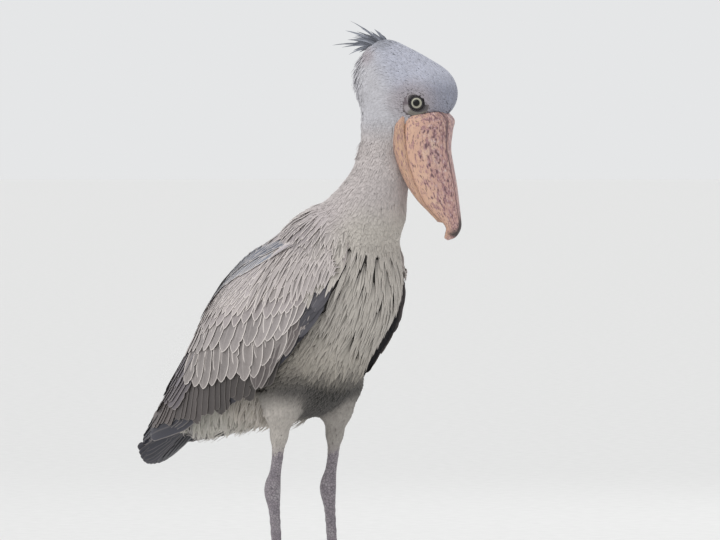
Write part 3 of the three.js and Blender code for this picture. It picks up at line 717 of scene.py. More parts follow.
def bill_station(t):
    """Culmen, mouth and underside points, half width, ridge width and ridge rise at t down the bill."""
    culmen = along([s[0] for s in BILL_STATIONS], t)
    mouth = along([s[1] for s in BILL_STATIONS], t)
    under = along([s[2] for s in BILL_STATIONS], t)
    width, ridge, rise = (along([s[k] for s in BILL_STATIONS], t) for k in (3, 4, 5))
    return culmen, mouth, under, width * BILL_HALF_WIDTH, ridge, rise


def bill_half(profile, start, inward, columns):
    """Points of half a section: depths and widths of its profile, read evenly along the section."""
    q = np.linspace(0, 1, columns)
    depth = along([p[0] for p in profile], q)
    wide = along([p[1] for p in profile], q)
    return start + depth[:, None] * inward, wide


def ripple(x, y, seed):
    """Smooth waves over two coordinates, from about minus one to one."""
    draw = np.random.default_rng(seed)
    total = np.zeros(np.broadcast(x, y).shape)
    for _ in range(5):
        kx, ky = draw.uniform(0.6, 1.6, 2) * draw.choice([-1, 1], 2)
        total += np.sin(kx * x + ky * y + draw.uniform(0, 6.28))
    return total / 3


def make_bill(upper):
    """One half of the bill as a closed tube of rings, with places round and down it."""
    t_last = 1.0 if upper else LOWER_BILL_END
    rings, places = [], []
    for t in np.linspace(0, t_last, BILL_RINGS):
        culmen, mouth, under, half, ridge, rise = bill_station(t)
        start, end = (culmen, mouth) if upper else (mouth, under)
        deep = np.linalg.norm(end - start)
        inward = (end - start) / max(deep, 1e-6)
        if upper:
            profile = [
                (0, 0), (0.02 * deep, ridge * 0.75), (rise, ridge * 0.95),
                (rise + 0.07 * deep, min(ridge * 1.45, half * 0.8)), (0.4 * deep, half * 0.86),
                (0.7 * deep, half), (0.93 * deep, half * 0.99), (deep, half * 0.93),
            ]
        else:
            deep = max(deep - GAP, 0.5)
            start = start + inward * GAP
            half = half * mix(1, 1.2, down_to(t, 0.3, 0.22))
            profile = [(0, half * 0.9), (0.25 * deep, half * 0.94), (0.6 * deep, half * 0.83),
                       (0.88 * deep, half * 0.55), (deep, 0)]
        line, wide = bill_half(profile, start, inward, BILL_HALF_COLUMNS)
        q = np.linspace(0, 1, BILL_HALF_COLUMNS)
        wear = 0.35 * ripple(q * 26, t * 9, 5) + 0.16 * ripple(q * 70, t * 16, 6)
        fade = np.sin(np.pi * np.clip(q, 0.02, 0.98)) ** 0.5 * down_to(t, 1, 0.12)
        wide = np.maximum(wide + wear * fade, 0)
        left = head_point(line[:, 0], wide, line[:, 1])
        right = head_point(line[:, 0], -wide, line[:, 1])
        if upper:
            ring = np.concatenate([left, right[:0:-1]])
            round_place = np.concatenate([q, -q[:0:-1]])
        else:
            ring = np.concatenate([left, right[-2::-1]])
            round_place = np.concatenate([q, -q[-2::-1]])
        rings.append(ring)
        places.append(np.stack([round_place * 0.5 + 0.5, np.full(len(ring), t)], -1))
    points = np.array(rings)
    place = np.concatenate([np.array(places).reshape(-1, 2), [[0.5, 0]], [[0.5, t_last]]])
    return tube_points(points), tube_faces(len(points), points.shape[1]), place


def bill_finish(name, upper):
    finish = Finish(name, Roughness=0.5)
    across, down = finish.map_parts("bill")
    side = (across - 0.5).size() * 2
    wide, long = across * BILL_ROUND, down * BILL_LENGTH
    blotch = finish.noise(finish.joined(wide * 0.05, long * 0.022), 1.0, 4)
    streak = finish.noise(finish.joined(wide * 0.24, long * 0.085), 1.0, 5, 0.6)
    fleck = finish.noise(finish.joined(wide * 0.42, long * 0.16, 7.0), 1.0, 4, 0.6)
    fine = finish.noise(finish.joined(wide * 1.1, long * 0.4, 3.0), 1.0, 3)
    horn = finish.ramp(blotch, [(0.34, srgb("c59d93")), (0.5, srgb("d0a99b")), (0.66, srgb("dabbaa"))])
    amber = side.step(0.45, 0.8) if upper else 1 - side.step(0.45, 1.1)
    crowd = 1 - amber * (0.55 if upper else 0.4) + (blotch - 0.5) * 0.8
    mauve = (streak + crowd * 0.12).step(0.55, 0.68)
    dark = (fleck + crowd * 0.1 + (streak - 0.5) * 0.5).step(0.61, 0.71)
    pale = (1 - fleck.step(0.34, 0.44)) * (1 - amber)
    layers = [
        (amber * 0.7, "dbb295" if upper else "cfa986"), (mauve * 0.78, "a0767f"), (dark * 0.82, "5e494d"),
        (pale * 0.55, "e6dcd6"), (fine.step(0.5, 0.75) * 0.25, "8a6a69"),
    ]
    if upper:
        ridge_line = side.step(0.13, 0.165) * (1 - side.step(0.2, 0.25))
        nail = (down + (1 - side * 1.8) * 0.2).step(0.76, 0.88) * (1 - down.step(0.86, 0.93))
        layers += [
            (ridge_line * 0.7, "54434a"), ((1 - side.step(0.0, 0.12)) * 0.35, "b9a3a6"),
            (side.step(0.972, 0.99) * 0.65, "5f4a3c"),
            (down.step(0.5, 0.8) * side.step(0.86, 0.94) * 0.75, "4a3c3a"), (nail * 0.9, "2c2829"),
        ]
    for amount, code in layers:
        horn = finish.mixed(amount, horn, srgb(code))
    finish.feed("Roughness", 0.42 + streak * 0.3)
    return finish.done(horn, streak * 0.6 + fleck * 0.4, 0.4, 0.0014)


BILL_FINISHES = {"upper": bill_finish("bill_horn", True), "lower": bill_finish("bill_horn_low", False)}
BILL_TREES = []
for name, upper in (("upper", True), ("lower", False)):
    bill_points, bill_faces, bill_place = make_bill(upper)
    outline = [face for block in outward(bill_points, bill_faces) for face in block.tolist()]
    BILL_TREES.append(BVHTree.FromPolygons(bill_points.tolist(), outline))
    add_piece(f"{name}_bill", bill_points, bill_faces, BILL_FINISHES[name], [f"bill_{name}"],
              uvs={"bill": bill_place})


def make_eye(side):
    """A ball with a raised cornea, and places across its front in metres."""
    rows, columns = 64, 64
    out, ahead, upward = eye_axes(side)
    polar = np.linspace(0.004, math.pi - 0.01, rows)[:, None, None]
    turn = turns(columns)[None, :, None]
    around = ahead * np.cos(turn) + upward * np.sin(turn)
    cornea = 1.1 * down_to(polar, 0.72, 0.5)
    rings = eye_centre(side) + (EYE_RADIUS + cornea) * (out * np.cos(polar) + around * np.sin(polar))
    across = EYE_RADIUS * np.sin(polar) * np.ones_like(turn)
    place = across * np.concatenate([np.cos(turn), np.sin(turn)], -1)
    front = (np.cos(polar) > 0) * np.ones_like(turn)
    place = np.where(front, place, EYE_RADIUS * 1.2).reshape(-1, 2)
    place = np.concatenate([place, [[0, 0]], [[EYE_RADIUS * 1.2, 0]]]) / METRE
    return tube_points(rings), tube_faces(rows, columns), place


def eye_finish():
    finish = Finish("eye_wet", Roughness=0.08, IOR=1.25, Coat_Weight=0.35, Coat_Roughness=0.02)
    x, y = finish.map_parts("iris")
    radius = (x * x + y * y) ** 0.5 * METRE
    turn = y.math("ARCTAN2", x)
    rays = finish.noise(finish.joined(turn * 9, radius * 0.35), 2.2, 4)
    iris = finish.ramp(rays, [(0.3, srgb("979684")), (0.55, srgb("b3b1a0")), (0.75, srgb("c5c3b5"))])
    iris = finish.mixed(radius.step(9.1, 10.0), iris, srgb("4b4a44"))
    iris = finish.mixed((1 - radius.step(6.2, 7.2)) * 0.6, iris, srgb("6a6a5b"))
    half = PUPIL_WIDTH / 2
    iris = finish.mixed(1 - radius.step(half - 0.15, half + 0.2), iris, (0.002, 0.002, 0.002))
    finish.feed("Base Color", iris)
    return finish.material


# Bare skin and lids round an eye, as a ring that runs from the rim of the iris out under the feathers
LID_ROWS, LID_COLUMNS = 54, 160
LID_TURNS = [-150, -120, -90, -60, -25, 0, 45, 95, 138, 180]
BARE_EDGE = [28, 26, 24, 23, 24.5, 18, 15.2, 15.2, 22, 23]
DARK_EDGE = [15, 16, 17, 18.5, 23, 16.5, 13.4, 13.4, 20.5, 15.5]


def round_eye(turn, edge):
    """A distance from the eye's middle that varies with the turn round it."""
    turn = np.degrees(turn)
    return sum(np.interp(turn + d, LID_TURNS, edge, period=360) for d in (-9, 0, 9)) / 3


def make_lids(side):
    """Lids, folds and bare skin as a thin closed ring, with its colours."""
    out, ahead, upward = eye_axes(side)
    centre = eye_centre(side)
    turn = turns(LID_COLUMNS)[None, :]
    share = np.linspace(0, 1, LID_ROWS)[:, None]
    over, below = np.clip(np.sin(turn), 0, 1), np.clip(-np.sin(turn), 0, 1)
    inner = (IRIS_WIDTH / 2 - 0.4) * (1 - 0.05 * over)
    radius = mix(inner, round_eye(turn, BARE_EDGE) + 3.5, share ** 1.15)
    flat = ahead * (radius * np.cos(turn))[..., None] + upward * (radius * np.sin(turn))[..., None]
    start = centre - out * 6 + flat
    height = reach(trunk_depth, start, np.broadcast_to(out, start.shape), -0.2) - 6
    ball = np.sqrt(np.maximum(EYE_RADIUS ** 2 - radius ** 2, 0)) + 0.25
    edge = radius - inner
    rim = 1.1 * np.exp(-((edge - 1.2) / 1.0) ** 2)
    lid = mix(ball, height, up_from(edge, 1.2, 6.0))
    folds = 0.5 * np.sin(edge * 2.1 + 1.2 * np.sin(turn * 2 + 0.5)) * np.exp(-((edge - 4.6) / 2.8) ** 2)
    bag = 2.0 * np.exp(-((radius - 19) / 3.6) ** 2) * below ** 0.7
    creases = 0.3 * np.sin(radius * 1.7 + 2.0 * np.sin(turn * 3)) * up_from(radius, 15, 3) * below
    pebble = 0.16 * ripple(turn * 14, radius * 1.9, 11) * smooth(edge / 1.5) * down_to(share, 1, 0.2)
    brow = 1.5 * np.exp(-((edge - 3.4) / 1.7) ** 2) * over
    top = lid + rim + folds + bag + creases + pebble + brow - 1.6 * up_from(share, 0.86, 0.14)
    rings = centre + flat + out * top[..., None]
    under = rings[::-1] - out * 1.6
    whole = np.concatenate([rings, under])
    faces = grid_faces(len(whole), LID_COLUMNS, True)
    last = (len(whole) - 1) * LID_COLUMNS + np.arange(LID_COLUMNS)
    first = np.arange(LID_COLUMNS)
    close = np.stack([last, np.roll(last, -1), np.roll(first, -1), first], -1)
    colours = lid_colour(radius, turn + 0 * radius)
    colours = np.concatenate([colours, colours[::-1]]).reshape(-1, 3)
    return whole.reshape(-1, 3), [faces, close], colours


def lid_colour(radius, turn):
    """Dark lids in bare skin: mauve behind the eye, olive grey below it, pale at its lower corner, with a
    painted shadow along its lower edge by the bill.
    """
    degrees = (np.degrees(turn) + 180) % 360 - 180
    dark_edge, bare_edge = round_eye(turn, DARK_EDGE), round_eye(turn, BARE_EDGE)
    below = smooth(-np.sin(turn) / 0.5)[..., None]
    skin = mix(srgb("6c6167"), srgb("7a766f"), below)
    pale = between(degrees, -176, -128, 16) * up_from(radius, 14, 3)
    skin = mix(skin, srgb("a19a9d"), pale[..., None])
    # Painted shadow: a dark band along the outer edge of the bare skin below the eye.
    rim = smooth((radius - bare_edge + 3.2) / 2.2)[..., None] * below
    skin = mix(skin, srgb("4f4547"), rim * 0.85)
    upper_rim = np.exp(-((radius - dark_edge - 0.7) / 0.8) ** 2) * smooth((np.sin(turn) + 0.1) / 0.5)
    skin = mix(skin, srgb("b4b1b2"), upper_rim[..., None] * 0.8)
    dark = smooth((dark_edge - radius) / 1.8)[..., None]
    lid = mix(srgb("2b292c"), srgb("5d585b"), up_from(radius, 11, 6)[..., None])
    return mix(skin, lid, dark)


def lid_finish():
    finish = Finish("bare_face", Roughness=0.55)
    grain = finish.noise(finish.place(), 900, 3)
    spots = finish.noise(finish.place(), 420, 3)
    shade = 0.7 + grain * 0.25 + spots * 0.35
    tone = finish.attribute("plumage", "Color")
    return finish.done(finish.shaded(tone, shade), grain * 0.5 + spots * 0.5, 0.5, 0.0008)


EYE_FINISH = eye_finish()
LID_FINISH = lid_finish()
for name, side in SIDES.items():
    points, faces, place = make_eye(side)
    add_piece(f"eyeball_{name}", points, faces, EYE_FINISH, [f"eye_{name}"], uvs={"iris": place})
    points, faces, colours = make_lids(side)
    add_piece(f"lids_{name}", points, faces, LID_FINISH, colours=colours)


# Legs and feet: links blended into one form on each side
TOES = [("inner", -26, 0.8, 6), ("middle", 2, 1, 0), ("outer", 30, 0.84, -6), ("hind", 172, 0.5, 0)]
CLAW_LENGTH, HIND_CLAW_LENGTH = 22, 20


def toe_frame(leg, toe):
    """Start, forward direction, sideways direction, length and bend of a toe."""
    _, turn, share, bend = toe
    turn = math.radians(turn * leg["side"])
    start = vec(leg["foot"], leg["side"] * LEG_SPREAD, 0)
    forward = vec(math.cos(turn), math.sin(turn), 0)
    sideways = vec(-math.sin(turn), math.cos(turn), 0)
    return start, forward, sideways, MIDDLE_TOE * share, bend * leg["side"]


def toe_point(leg, toe, t, z):
    start, forward, sideways, length, bend = toe_frame(leg, toe)
    t = np.asarray(t, float)[..., None]
    return start + forward * length * t + sideways * bend * t * t + UP * np.asarray(z, float)[..., None]


def toe_stations(leg, toe):
    """Points and radii along a toe, wider at its pads and narrower at its joints."""
    steps = (2 if toe[0] == "hind" else 4) * 2 + 1
    t = mix(0.02, 1, np.arange(steps + 1) / steps)
    pad = np.where(np.arange(steps + 1) % 2 == 1, 1.08, 0.9)
    radius = TOE_RADIUS * mix(1, 0.62, t) * pad
    return toe_point(leg, toe, t, radius * 0.86), radius


def shank_stations(leg):
    y = leg["side"] * LEG_SPREAD
    hip, ankle, foot = leg["hip"], leg["ankle"], leg["foot"]
    rows = [
        (hip, y, KNEE_Z + 4, SHANK_RADIUS), ((hip + ankle) / 2, y, 268, SHANK_RADIUS),
        (ankle, y, ANKLE_Z, 14), (mix(ankle, foot, 0.25), y, 196, SHANK_RADIUS),
        (mix(ankle, foot, 0.6), y, 118, SHANK_RADIUS * 0.95), (foot - 1, y, 46, SHANK_RADIUS * 1.1),
        (foot, y, 14, SHANK_RADIUS * 1.3),
    ]
    t = np.linspace(0, 1, 25)
    points = along([r[:3] for r in rows], t)
    return points, along([r[3] for r in rows], t)


def chain_depth(p, points, radii, blend):
    depth = np.full(p.shape[:-1], 1e3)
    for a, b, start, end in zip(points, points[1:], radii, radii[1:]):
        depth = blended(depth, link_depth(p, a, b, start, end), blend)
    return depth


def leg_field(leg):
    parts = [(*shank_stations(leg), 3)] + [(*toe_stations(leg, toe), 2.5) for toe in TOES]

    def depth_at(p):
        depth = np.full(p.shape[:-1], 1e3)
        for points, radii, blend in parts:
            low = points.min(0) - radii.max() - 30
            high = points.max(0) + radii.max() + 30
            near = ((p > low) & (p < high)).all(-1)
            if near.any():
                part = np.full(p.shape[:-1], 60.0)
                part[near] = chain_depth(p[near], points, radii, blend)
                depth = blended(depth, part, 9)
        return np.maximum(depth, -p[..., 2])
    return depth_at


def leg_finish():
    finish = Finish("leg_skin", Roughness=0.62)
    place = finish.place()
    scale = finish.cell_edges(place, 210)
    tone = finish.noise(place, 60, 3)
    colour = finish.ramp(tone, [(0.3, srgb("878087")), (0.5, srgb("978f95")), (0.72, srgb("a8a2a6"))])
    colour = finish.mixed(1 - scale.step(0.02, 0.1), colour, srgb("6b656b"))
    return finish.done(colour, scale.step(0.0, 0.16), 0.7, 0.0012)


def claw_finish():
    finish = Finish("claw_horn", Roughness=0.35)
    grain = finish.noise(finish.place(), 300, 3)
    colour = finish.ramp(grain, [(0.3, srgb("1f1c1c")), (0.7, srgb("3a3434"))])
    return finish.done(colour, grain, 0.3, 0.0005)


def make_claw(leg, toe):
    """A tapering claw that curves down from the end of a toe."""
    _, _, sideways, length, _ = toe_frame(leg, toe)
    long = HIND_CLAW_LENGTH if toe[0] == "hind" else CLAW_LENGTH
    rows, columns = 24, 20
    t = np.linspace(0, 1, rows)
    line = toe_point(leg, toe, 0.975 + long * t / length, mix(6.4, 1.3, t * t) + 1.2 * np.sin(np.pi * t))
    radius = 4.6 * (1 - t) ** 0.75 + 0.35
    turn = turns(columns)
    rings = (line[:, None] + sideways * (radius[:, None, None] * 0.85 * np.cos(turn)[None, :, None])
             + UP * (radius[:, None, None] * np.sin(turn)[None, :, None]))
    rings[..., 2] = np.maximum(rings[..., 2], 0.5)
    return tube_points(rings), tube_faces(rows, columns)


LEG_FINISH = leg_finish()
CLAW_FINISH = claw_finish()
for name, leg in LEGS.items():
    y = leg["side"] * LEG_SPREAD
    corners = ((leg["foot"] - 105, y - 110, -6), (leg["foot"] + 195, y + 110, KNEE_Z + 16))
    points, faces = surface_of(leg_field(leg), *corners, LEG_GRID)
    points[:, 2] = np.maximum(points[:, 2], 0)
    nodes = [f"shank_{name}", f"foot_{name}"] + [f"toe_{toe[0]}_{name}" for toe in TOES]
    add_piece(f"leg_{name}", points, [faces], LEG_FINISH, nodes)
    for toe in TOES:
        points, faces = make_claw(leg, toe)
        place = f"{toe[0]}_{name}"
        add_piece(f"talon_{place}", points, faces, CLAW_FINISH, [f"claw_{place}"])


# Feathers
BAKE_PATCH = 0.003


def make_style(rows, columns, base, shoulder, power, blunt, thickness, camber, tilt=0.0, ragged=0.05):
    """How one kind of feather is shaped. It is a share of its width at the base, and narrows past its
    shoulder, by a power and a bluntness. Its places along the feather lie closer towards the tip."""
    x = np.linspace(0, 1, rows)
    t = mix(x, np.sin(x * math.pi / 2), 0.6)
    past = np.clip((t - shoulder) / (1 - shoulder), 0, 1)
    width = mix(base, 1, smooth(t / 0.4)) * np.maximum(1 - past ** power, 0) ** blunt
    if columns == 0:
        section = [(-1, 0), (0, 1), (1, 0)]
    else:
        w = np.linspace(-1, 1, columns + 1)
        rib = 0.5 + 0.6 * np.exp(-(w / 0.09) ** 2)
        section = [(a, b) for a, b in zip(w, rib * (1 - 0.75 * np.abs(w)))]
        section += [(a, -0.5 * (1 - 0.75 * abs(a))) for a in w[-2:0:-1]]
    return {
        "t": t, "width": np.maximum(width, 0.04), "section": np.array(section, float),
        "thickness": thickness, "camber": camber, "tilt": tilt, "ragged": ragged,
    }


def feather_points(lines, outs, widths, style, draw, splits=0.0):
    """Closed thin vanes round centre lines: an array of feathers by rows by section points."""
    count, rows = lines.shape[:2]
    tangent = unit(np.gradient(lines, axis=1))
    side = unit(np.cross(outs, tangent))
    out = np.cross(tangent, side)
    tilt = style["tilt"] * draw.uniform(0.7, 1.3, (count, 1, 1))
    leaned = side * np.cos(tilt) + out * np.sin(tilt)
    out = out * np.cos(tilt) - side * np.sin(tilt)
    half = widths[:, None] / 2 * style["width"]
    w, h = style["section"].T
    rough = 1 + style["ragged"] * draw.normal(0, 1, (count, rows, len(w)))
    if splits:
        cut = (draw.random((count, rows, 2)) < splits) * draw.uniform(0.08, 0.35, (count, rows, 2))
        cut[:, :2] = 0
        rough -= np.where(w < 0, cut[..., :1], cut[..., 1:]) * (np.abs(w) > 0.7)
    across = half[..., None] * w * np.where(np.abs(w) > 0.3, rough, 1)
    height = style["thickness"] * h - style["camber"] * half[..., None] * w * w
    return lines[:, :, None] + leaned[:, :, None] * across[..., None] + out[:, :, None] * height[..., None]


def add_feathers(name, points, style, material, colours, rims, widths, bake_uv, draw, replaces=()):
    """One mesh of many vanes, with the maps and values that its finish and the bake read."""
    count, rows, columns = points.shape[:3]
    block = rows * columns
    start = (np.arange(count) * block)[:, None, None]
    quads = (start + grid_faces(rows, columns, True)).reshape(-1, 4)
    ring = np.arange(columns)
    caps = (start + np.stack([ring[::-1], ring + block - columns])).reshape(-1, columns)
    w, height = style["section"].T
    place = np.stack(np.broadcast_arrays(w * 0.5 + 0.5, style["t"][:, None]), -1)
    place = np.broadcast_to(place, (count, rows, columns, 2))
    patch = (place - 0.5) * BAKE_PATCH * np.where(height < 0, 0.9, 1.0)[:, None]
    bake = np.clip(bake_uv, 0.01, 0.99)[:, None, None] + patch
    half = widths[:, None] / 2 * style["width"]
    lengths = np.linalg.norm(np.diff(points.mean(2), axis=1), axis=-1).sum(1)
    inward = half[..., None] * (1 - np.abs(w))
    from_tip = lengths[:, None] * (1 - style["t"])
    edge = np.minimum(inward, from_tip[..., None])
    spread = np.ones((count, rows, columns))
    tones = draw.random(count)
    piece = add_piece(
        name, points.reshape(-1, 3), [quads, caps], material, replaces,
        uvs={"OFBake": bake.reshape(-1, 2), "vane": place.reshape(-1, 2)},
        values={
            "tone": (tones[:, None, None] * spread).ravel(),
            "rim": (rims[:, None, None] * spread).ravel(),
            "edge": edge.ravel(),
        },
        colours=np.repeat(colours, block, 0),
    )
    ends = np.empty(len(piece.data.edges) * 2, np.int32)
    piece.data.edges.foreach_get("vertices", ends)
    lane = ends.reshape(-1, 2) % columns
    sharp = (lane[:, 0] == lane[:, 1]) & (np.abs(w)[lane[:, 0]] > 0.99)
    crease = piece.data.attributes.new("sharp_edge", "BOOLEAN", "EDGE")
    crease.data.foreach_set("value", sharp)


def varied(draw, count):
    """Shares a little over and under one, for the sizes of single feathers."""
    return draw.uniform(0.85, 1.15, count)


def lay_on(field, roots, headings, lengths, lifts, t, pull=0.0):
    """Centre lines that follow a field's surface from their roots, and their outward directions."""
    first, last = lifts
    p = settled(field, roots, first, 2)
    out = slope_of(field, p)
    heading = unit(headings - out * dot(headings, out))
    lines, outs = [p], [out]
    for k in range(1, len(t)):
        heading = unit(heading - pull * UP)
        heading = unit(heading - out * dot(heading, out))
        p = p + heading * ((t[k] - t[k - 1]) * lengths)[:, None]
        out = slope_of(field, p)
        p = p - (field(p) - mix(first, last, t[k]))[:, None] * out
        heading = unit(heading - out * dot(heading, out))
        lines.append(p)
        outs.append(out)
    return np.stack(lines, 1), np.stack(outs, 1)


def rows_round(point_at, lanes, across_gap, draw, jitter=0.3):
    """Staggered roots in rings: the lane and the angle of each."""
    angles = np.linspace(-180, 180, 73)
    rings = point_at(lanes[:, None] + 0 * angles, angles + 0 * lanes[:, None])
    lane_all, angle_all = [], []
    for k, (lane, ring) in enumerate(zip(lanes, rings)):
        travel = np.concatenate([[0], np.cumsum(np.linalg.norm(np.diff(ring, axis=0), axis=1))])
        count = max(3, int(travel[-1] / across_gap))
        stagger = 0.5 * (k % 2) + draw.uniform(-jitter, jitter, count)
        turn = np.interp((np.arange(count) + stagger) / count * travel[-1], travel, angles)
        angle_all.append(turn)
        lane_all.append(np.full(count, lane))
    return np.concatenate(lane_all), np.concatenate(angle_all)


SPINE_LENGTH = np.linalg.norm(np.diff(along(SPINE, np.linspace(0, 1, 200)), axis=0), axis=1).sum()


def body_lanes(start, end, gap):
    """Places along the spine that are a gap in millimetres apart."""
    return np.arange(start, end, gap / SPINE_LENGTH)


def sheet_tree(rise):
    """Ray tree of both wings' outer sheets."""
    rows, columns = 48, 26
    points, faces = [], []
    for k, side in enumerate(SIDES.values()):
        u, v = np.meshgrid(np.linspace(-0.03, 0.97, rows), np.linspace(-0.04, 1.02, columns), indexing="ij")
        points.append(wing_point(u, v, side, rise).reshape(-1, 3))
        faces.append(grid_faces(rows, columns, False) + k * rows * columns)
    return BVHTree.FromPolygons(np.concatenate(points).tolist(), np.concatenate(faces).tolist())


WING_TREE = sheet_tree(9.0)
RAY_REACH = 80.0
HIDDEN_COVER = 14


def wing_cover(points, outs):
    """How far the wing's feathers stand over each point along its outward direction."""
    flat, out = points.reshape(-1, 3), outs.reshape(-1, 3)
    cover = np.zeros(len(flat))
    near = (flat[:, 0] < 200) & (flat[:, 2] < 740) & (flat[:, 2] > 300) & (np.abs(flat[:, 1]) > 8)
    for i in np.nonzero(near)[0]:
        start = flat[i] + out[i] * RAY_REACH
        hit = WING_TREE.ray_cast(start.tolist(), (-out[i]).tolist(), RAY_REACH)
        if hit[0] is not None:
            cover[i] = RAY_REACH - hit[3]
    return cover.reshape(points.shape[:-1])


def raised_over_wings(lines, outs):
    """Centre lines lifted over the wings where these stand above them, and the most that each is lifted."""
    lift = wing_cover(lines, outs)
    for _ in range(2):
        eased = lift.copy()
        eased[:, 1:-1] = (lift[:, :-2] + 2 * lift[:, 1:-1] + lift[:, 2:]) / 4
        lift = np.maximum(lift, eased)
    rows = lift.shape[1]
    for k in range(rows - 2, 0, -1):
        lift[:, k] = np.maximum(lift[:, k], lift[:, k + 1] * k / (k + 1))
    for k in range(1, rows):
        lift[:, k] = np.maximum(lift[:, k], lift[:, k - 1] * 0.92)
    lift[:, 0] = np.minimum(lift[:, 0], 3)
    return lines + outs * lift[..., None], lift.max(1)


def plumage_finish(name, rim_colour=RIM_PALE, streak=0.2, dark_and_shaded_base=0.15, rim_width=1.6, roughness=0.85,
                   dark_shaft=0.0):
    finish = Finish(name, Roughness=roughness, Sheen_Weight=0.08, Sheen_Roughness=0.6)
    across, down = finish.map_parts("vane")
    tone, rim, edge = (finish.attribute(key) for key in ("tone", "rim", "edge"))
    out = (across - 0.5).size() * 2
    barb = finish.noise(finish.joined(out * 2.2 + tone * 31, (down - out * 0.22) * 60), 1.0, 3)
    patch = finish.noise(finish.place(), 34, 3)
    shade = 0.88 + tone * 0.24 - edge.step(2.5, 14) * 0.16
    shade = shade * (1 - streak / 2 + barb * streak)
    # Each vane darker towards its base: partly the darker down there and partly painted shade where the
    # vanes overlap.
    shade = shade * (1 - dark_and_shaded_base + down.step(0.0, 0.6) * dark_and_shaded_base)
    speckle = finish.noise(finish.place(), 140, 2)
    shade = shade * (0.7 + patch * 0.3 + speckle * 0.3)
    colour = finish.shaded(finish.attribute("plumage", "Color"), shade)
    shaft = 1 - out.step(0.03, 0.11)
    colour = finish.mixed(shaft * 0.15, colour, rim_colour)
    if dark_shaft:
        line = (1 - (out + barb * 0.3).step(0.25, 0.6)) * tone.step(0.5, 0.7) * (1 - down.step(0.8, 0.97))
        colour = finish.mixed(line * dark_shaft, colour, srgb("5d5956"))
    lip = (1 - (edge + barb * 1.4).step(rim_width * 0.7, rim_width + 1.3)) * rim
    colour = finish.mixed(lip, colour, rim_colour)
    return finish.done(colour, barb, 0.2, 0.0006)


SOFT = plumage_finish("plumage_soft")
LOOSE_PLUME = plumage_finish("plumage_plume", dark_and_shaded_base=0.45, rim_width=1.1, dark_shaft=0.7)
COVERT = plumage_finish("plumage_covert", streak=0.4, dark_and_shaded_base=0.3, rim_width=2.3)
FLIGHT = plumage_finish("plumage_flight", srgb("a59d97"), streak=0.6, dark_and_shaded_base=0.15, roughness=0.6)


def ring_bake(across, down):
    """Place of each feather in the bake's map, from its angle and its row."""
    return np.stack([across / 380 + 0.5, down], -1)


def read_at(setting, *places):
    """A setting that is a number, or what its function says of some places."""
    return setting(*places) if callable(setting) else setting


def body_coat(name, seed, lanes, across_gap, keep, length, width, style, lifts, material=None,
              swirl=0.0, pull=0.0, rim=0.0, field=trunk_depth, over_wings=None, wander=0.07, darker=None):
    """A coat piece over the body. Its settings are numbers, or functions of place and angle at the spine."""
    draw = np.random.default_rng(seed)
    s, angle = rows_round(body_point, lanes, across_gap, draw)
    s = s + draw.uniform(-0.3, 0.3, len(s)) * (lanes[1] - lanes[0])
    chosen = keep(s, np.abs(angle), draw)
    s, angle = s[chosen], angle[chosen]
    around = np.abs(angle)
    roots = body_point(s, angle)
    inside = np.clip(s, 0.012, 1)
    heading = unit(body_point(inside - 0.012, angle) - body_point(inside, angle))
    sideways = unit(body_point(s, angle + np.sign(angle) * 1.5) - roots)
    heading = unit(heading - sideways * swirl * np.sin(np.radians(around))[:, None])
    heading = heading + draw.normal(0, wander, heading.shape)
    lengths = read_at(length, s, around) * varied(draw, len(s))
    widths = read_at(width, s, around) * varied(draw, len(s))
    heights = read_at(lifts, s, around, draw)
    lines, outs = lay_on(field, roots, heading, lengths, heights, style["t"], pull)
    shown = wing_cover(roots, outs[:, 0]) < HIDDEN_COVER
    if over_wings is not None:
        lines, lift = raised_over_wings(lines, outs)
        shown &= lift < read_at(over_wings, s)
    parts = (s, angle, around, lines, outs, lengths, widths)
    s, angle, around, lines, outs, lengths, widths = (part[shown] for part in parts)
    curl = np.abs(draw.normal(0, 0.02, (len(s), 1))) * lengths[:, None] * style["t"] ** 2
    lines = lines + outs * curl[..., None]
    points = feather_points(lines, outs, widths, style, draw)
    colours = coat_colour(lines[:, 2])
    if darker is not None:
        colours = colours * darker(s, around)[:, None]
    rims = np.clip(read_at(rim, s, around) + 0 * s, 0, 1)
    add_feathers(name, points, style, material or SOFT, colours, rims, widths,
                 ring_bake(angle, s * 0.9 + 0.06), draw)


PLUME = make_style(9, 0, 0.5, 0.35, 1.5, 0.85, 0.7, 0.12, tilt=0.12)
MANTLE = make_style(10, 2, 0.6, 0.45, 1.7, 0.75, 0.5, 0.16, tilt=0.1)
SHORT = make_style(5, 0, 0.7, 0.35, 1.7, 0.7, 0.3, 0.12, tilt=0.06)
LOOSE = make_style(6, 0, 0.6, 0.3, 1.4, 0.8, 0.35, 0.1, tilt=0.1)
ROUNDED = make_style(10, 4, 0.6, 0.55, 2.2, 0.6, 0.6, 0.12, tilt=0.06)


def plume_length(s, _):
    """The breast's plumes, longest at the middle."""
    return mix(24, 56, up_from(s, 0.32, 0.09) * down_to(s, 0.72, 0.14))


def mantle_share(s, a):
    """One over the shoulders, where the mantle's edged plumes lie, and zero on the breast."""
    return down_to(a, 112, 26) * down_to(s, 0.68, 0.1)


def gap_share(s):
    """Where the breast's plumes stand apart and show the skin between them, which is painted dark there as
    shade.
    """
    return between(s, 0.35, 0.64, 0.06)


def shoulder_ridge(s, a):
    """One beside the folded wings, where the back's feathers rise to meet their edges."""
    return up_from(a, 34, 26) * between(s, 0.26, 0.43, 0.05)


def fading(s, draw):
    """Which plumes stay, fewer of them towards the neck, where its small feathers take over."""
    return draw.random(len(s)) > up_from(s, 0.6, 0.09)


def nape_ruff(s, a):
    """One where the nape's feathers stand off in a small ruff."""
    return between(s, 0.83, 0.95, 0.04) * down_to(a, 60, 30)


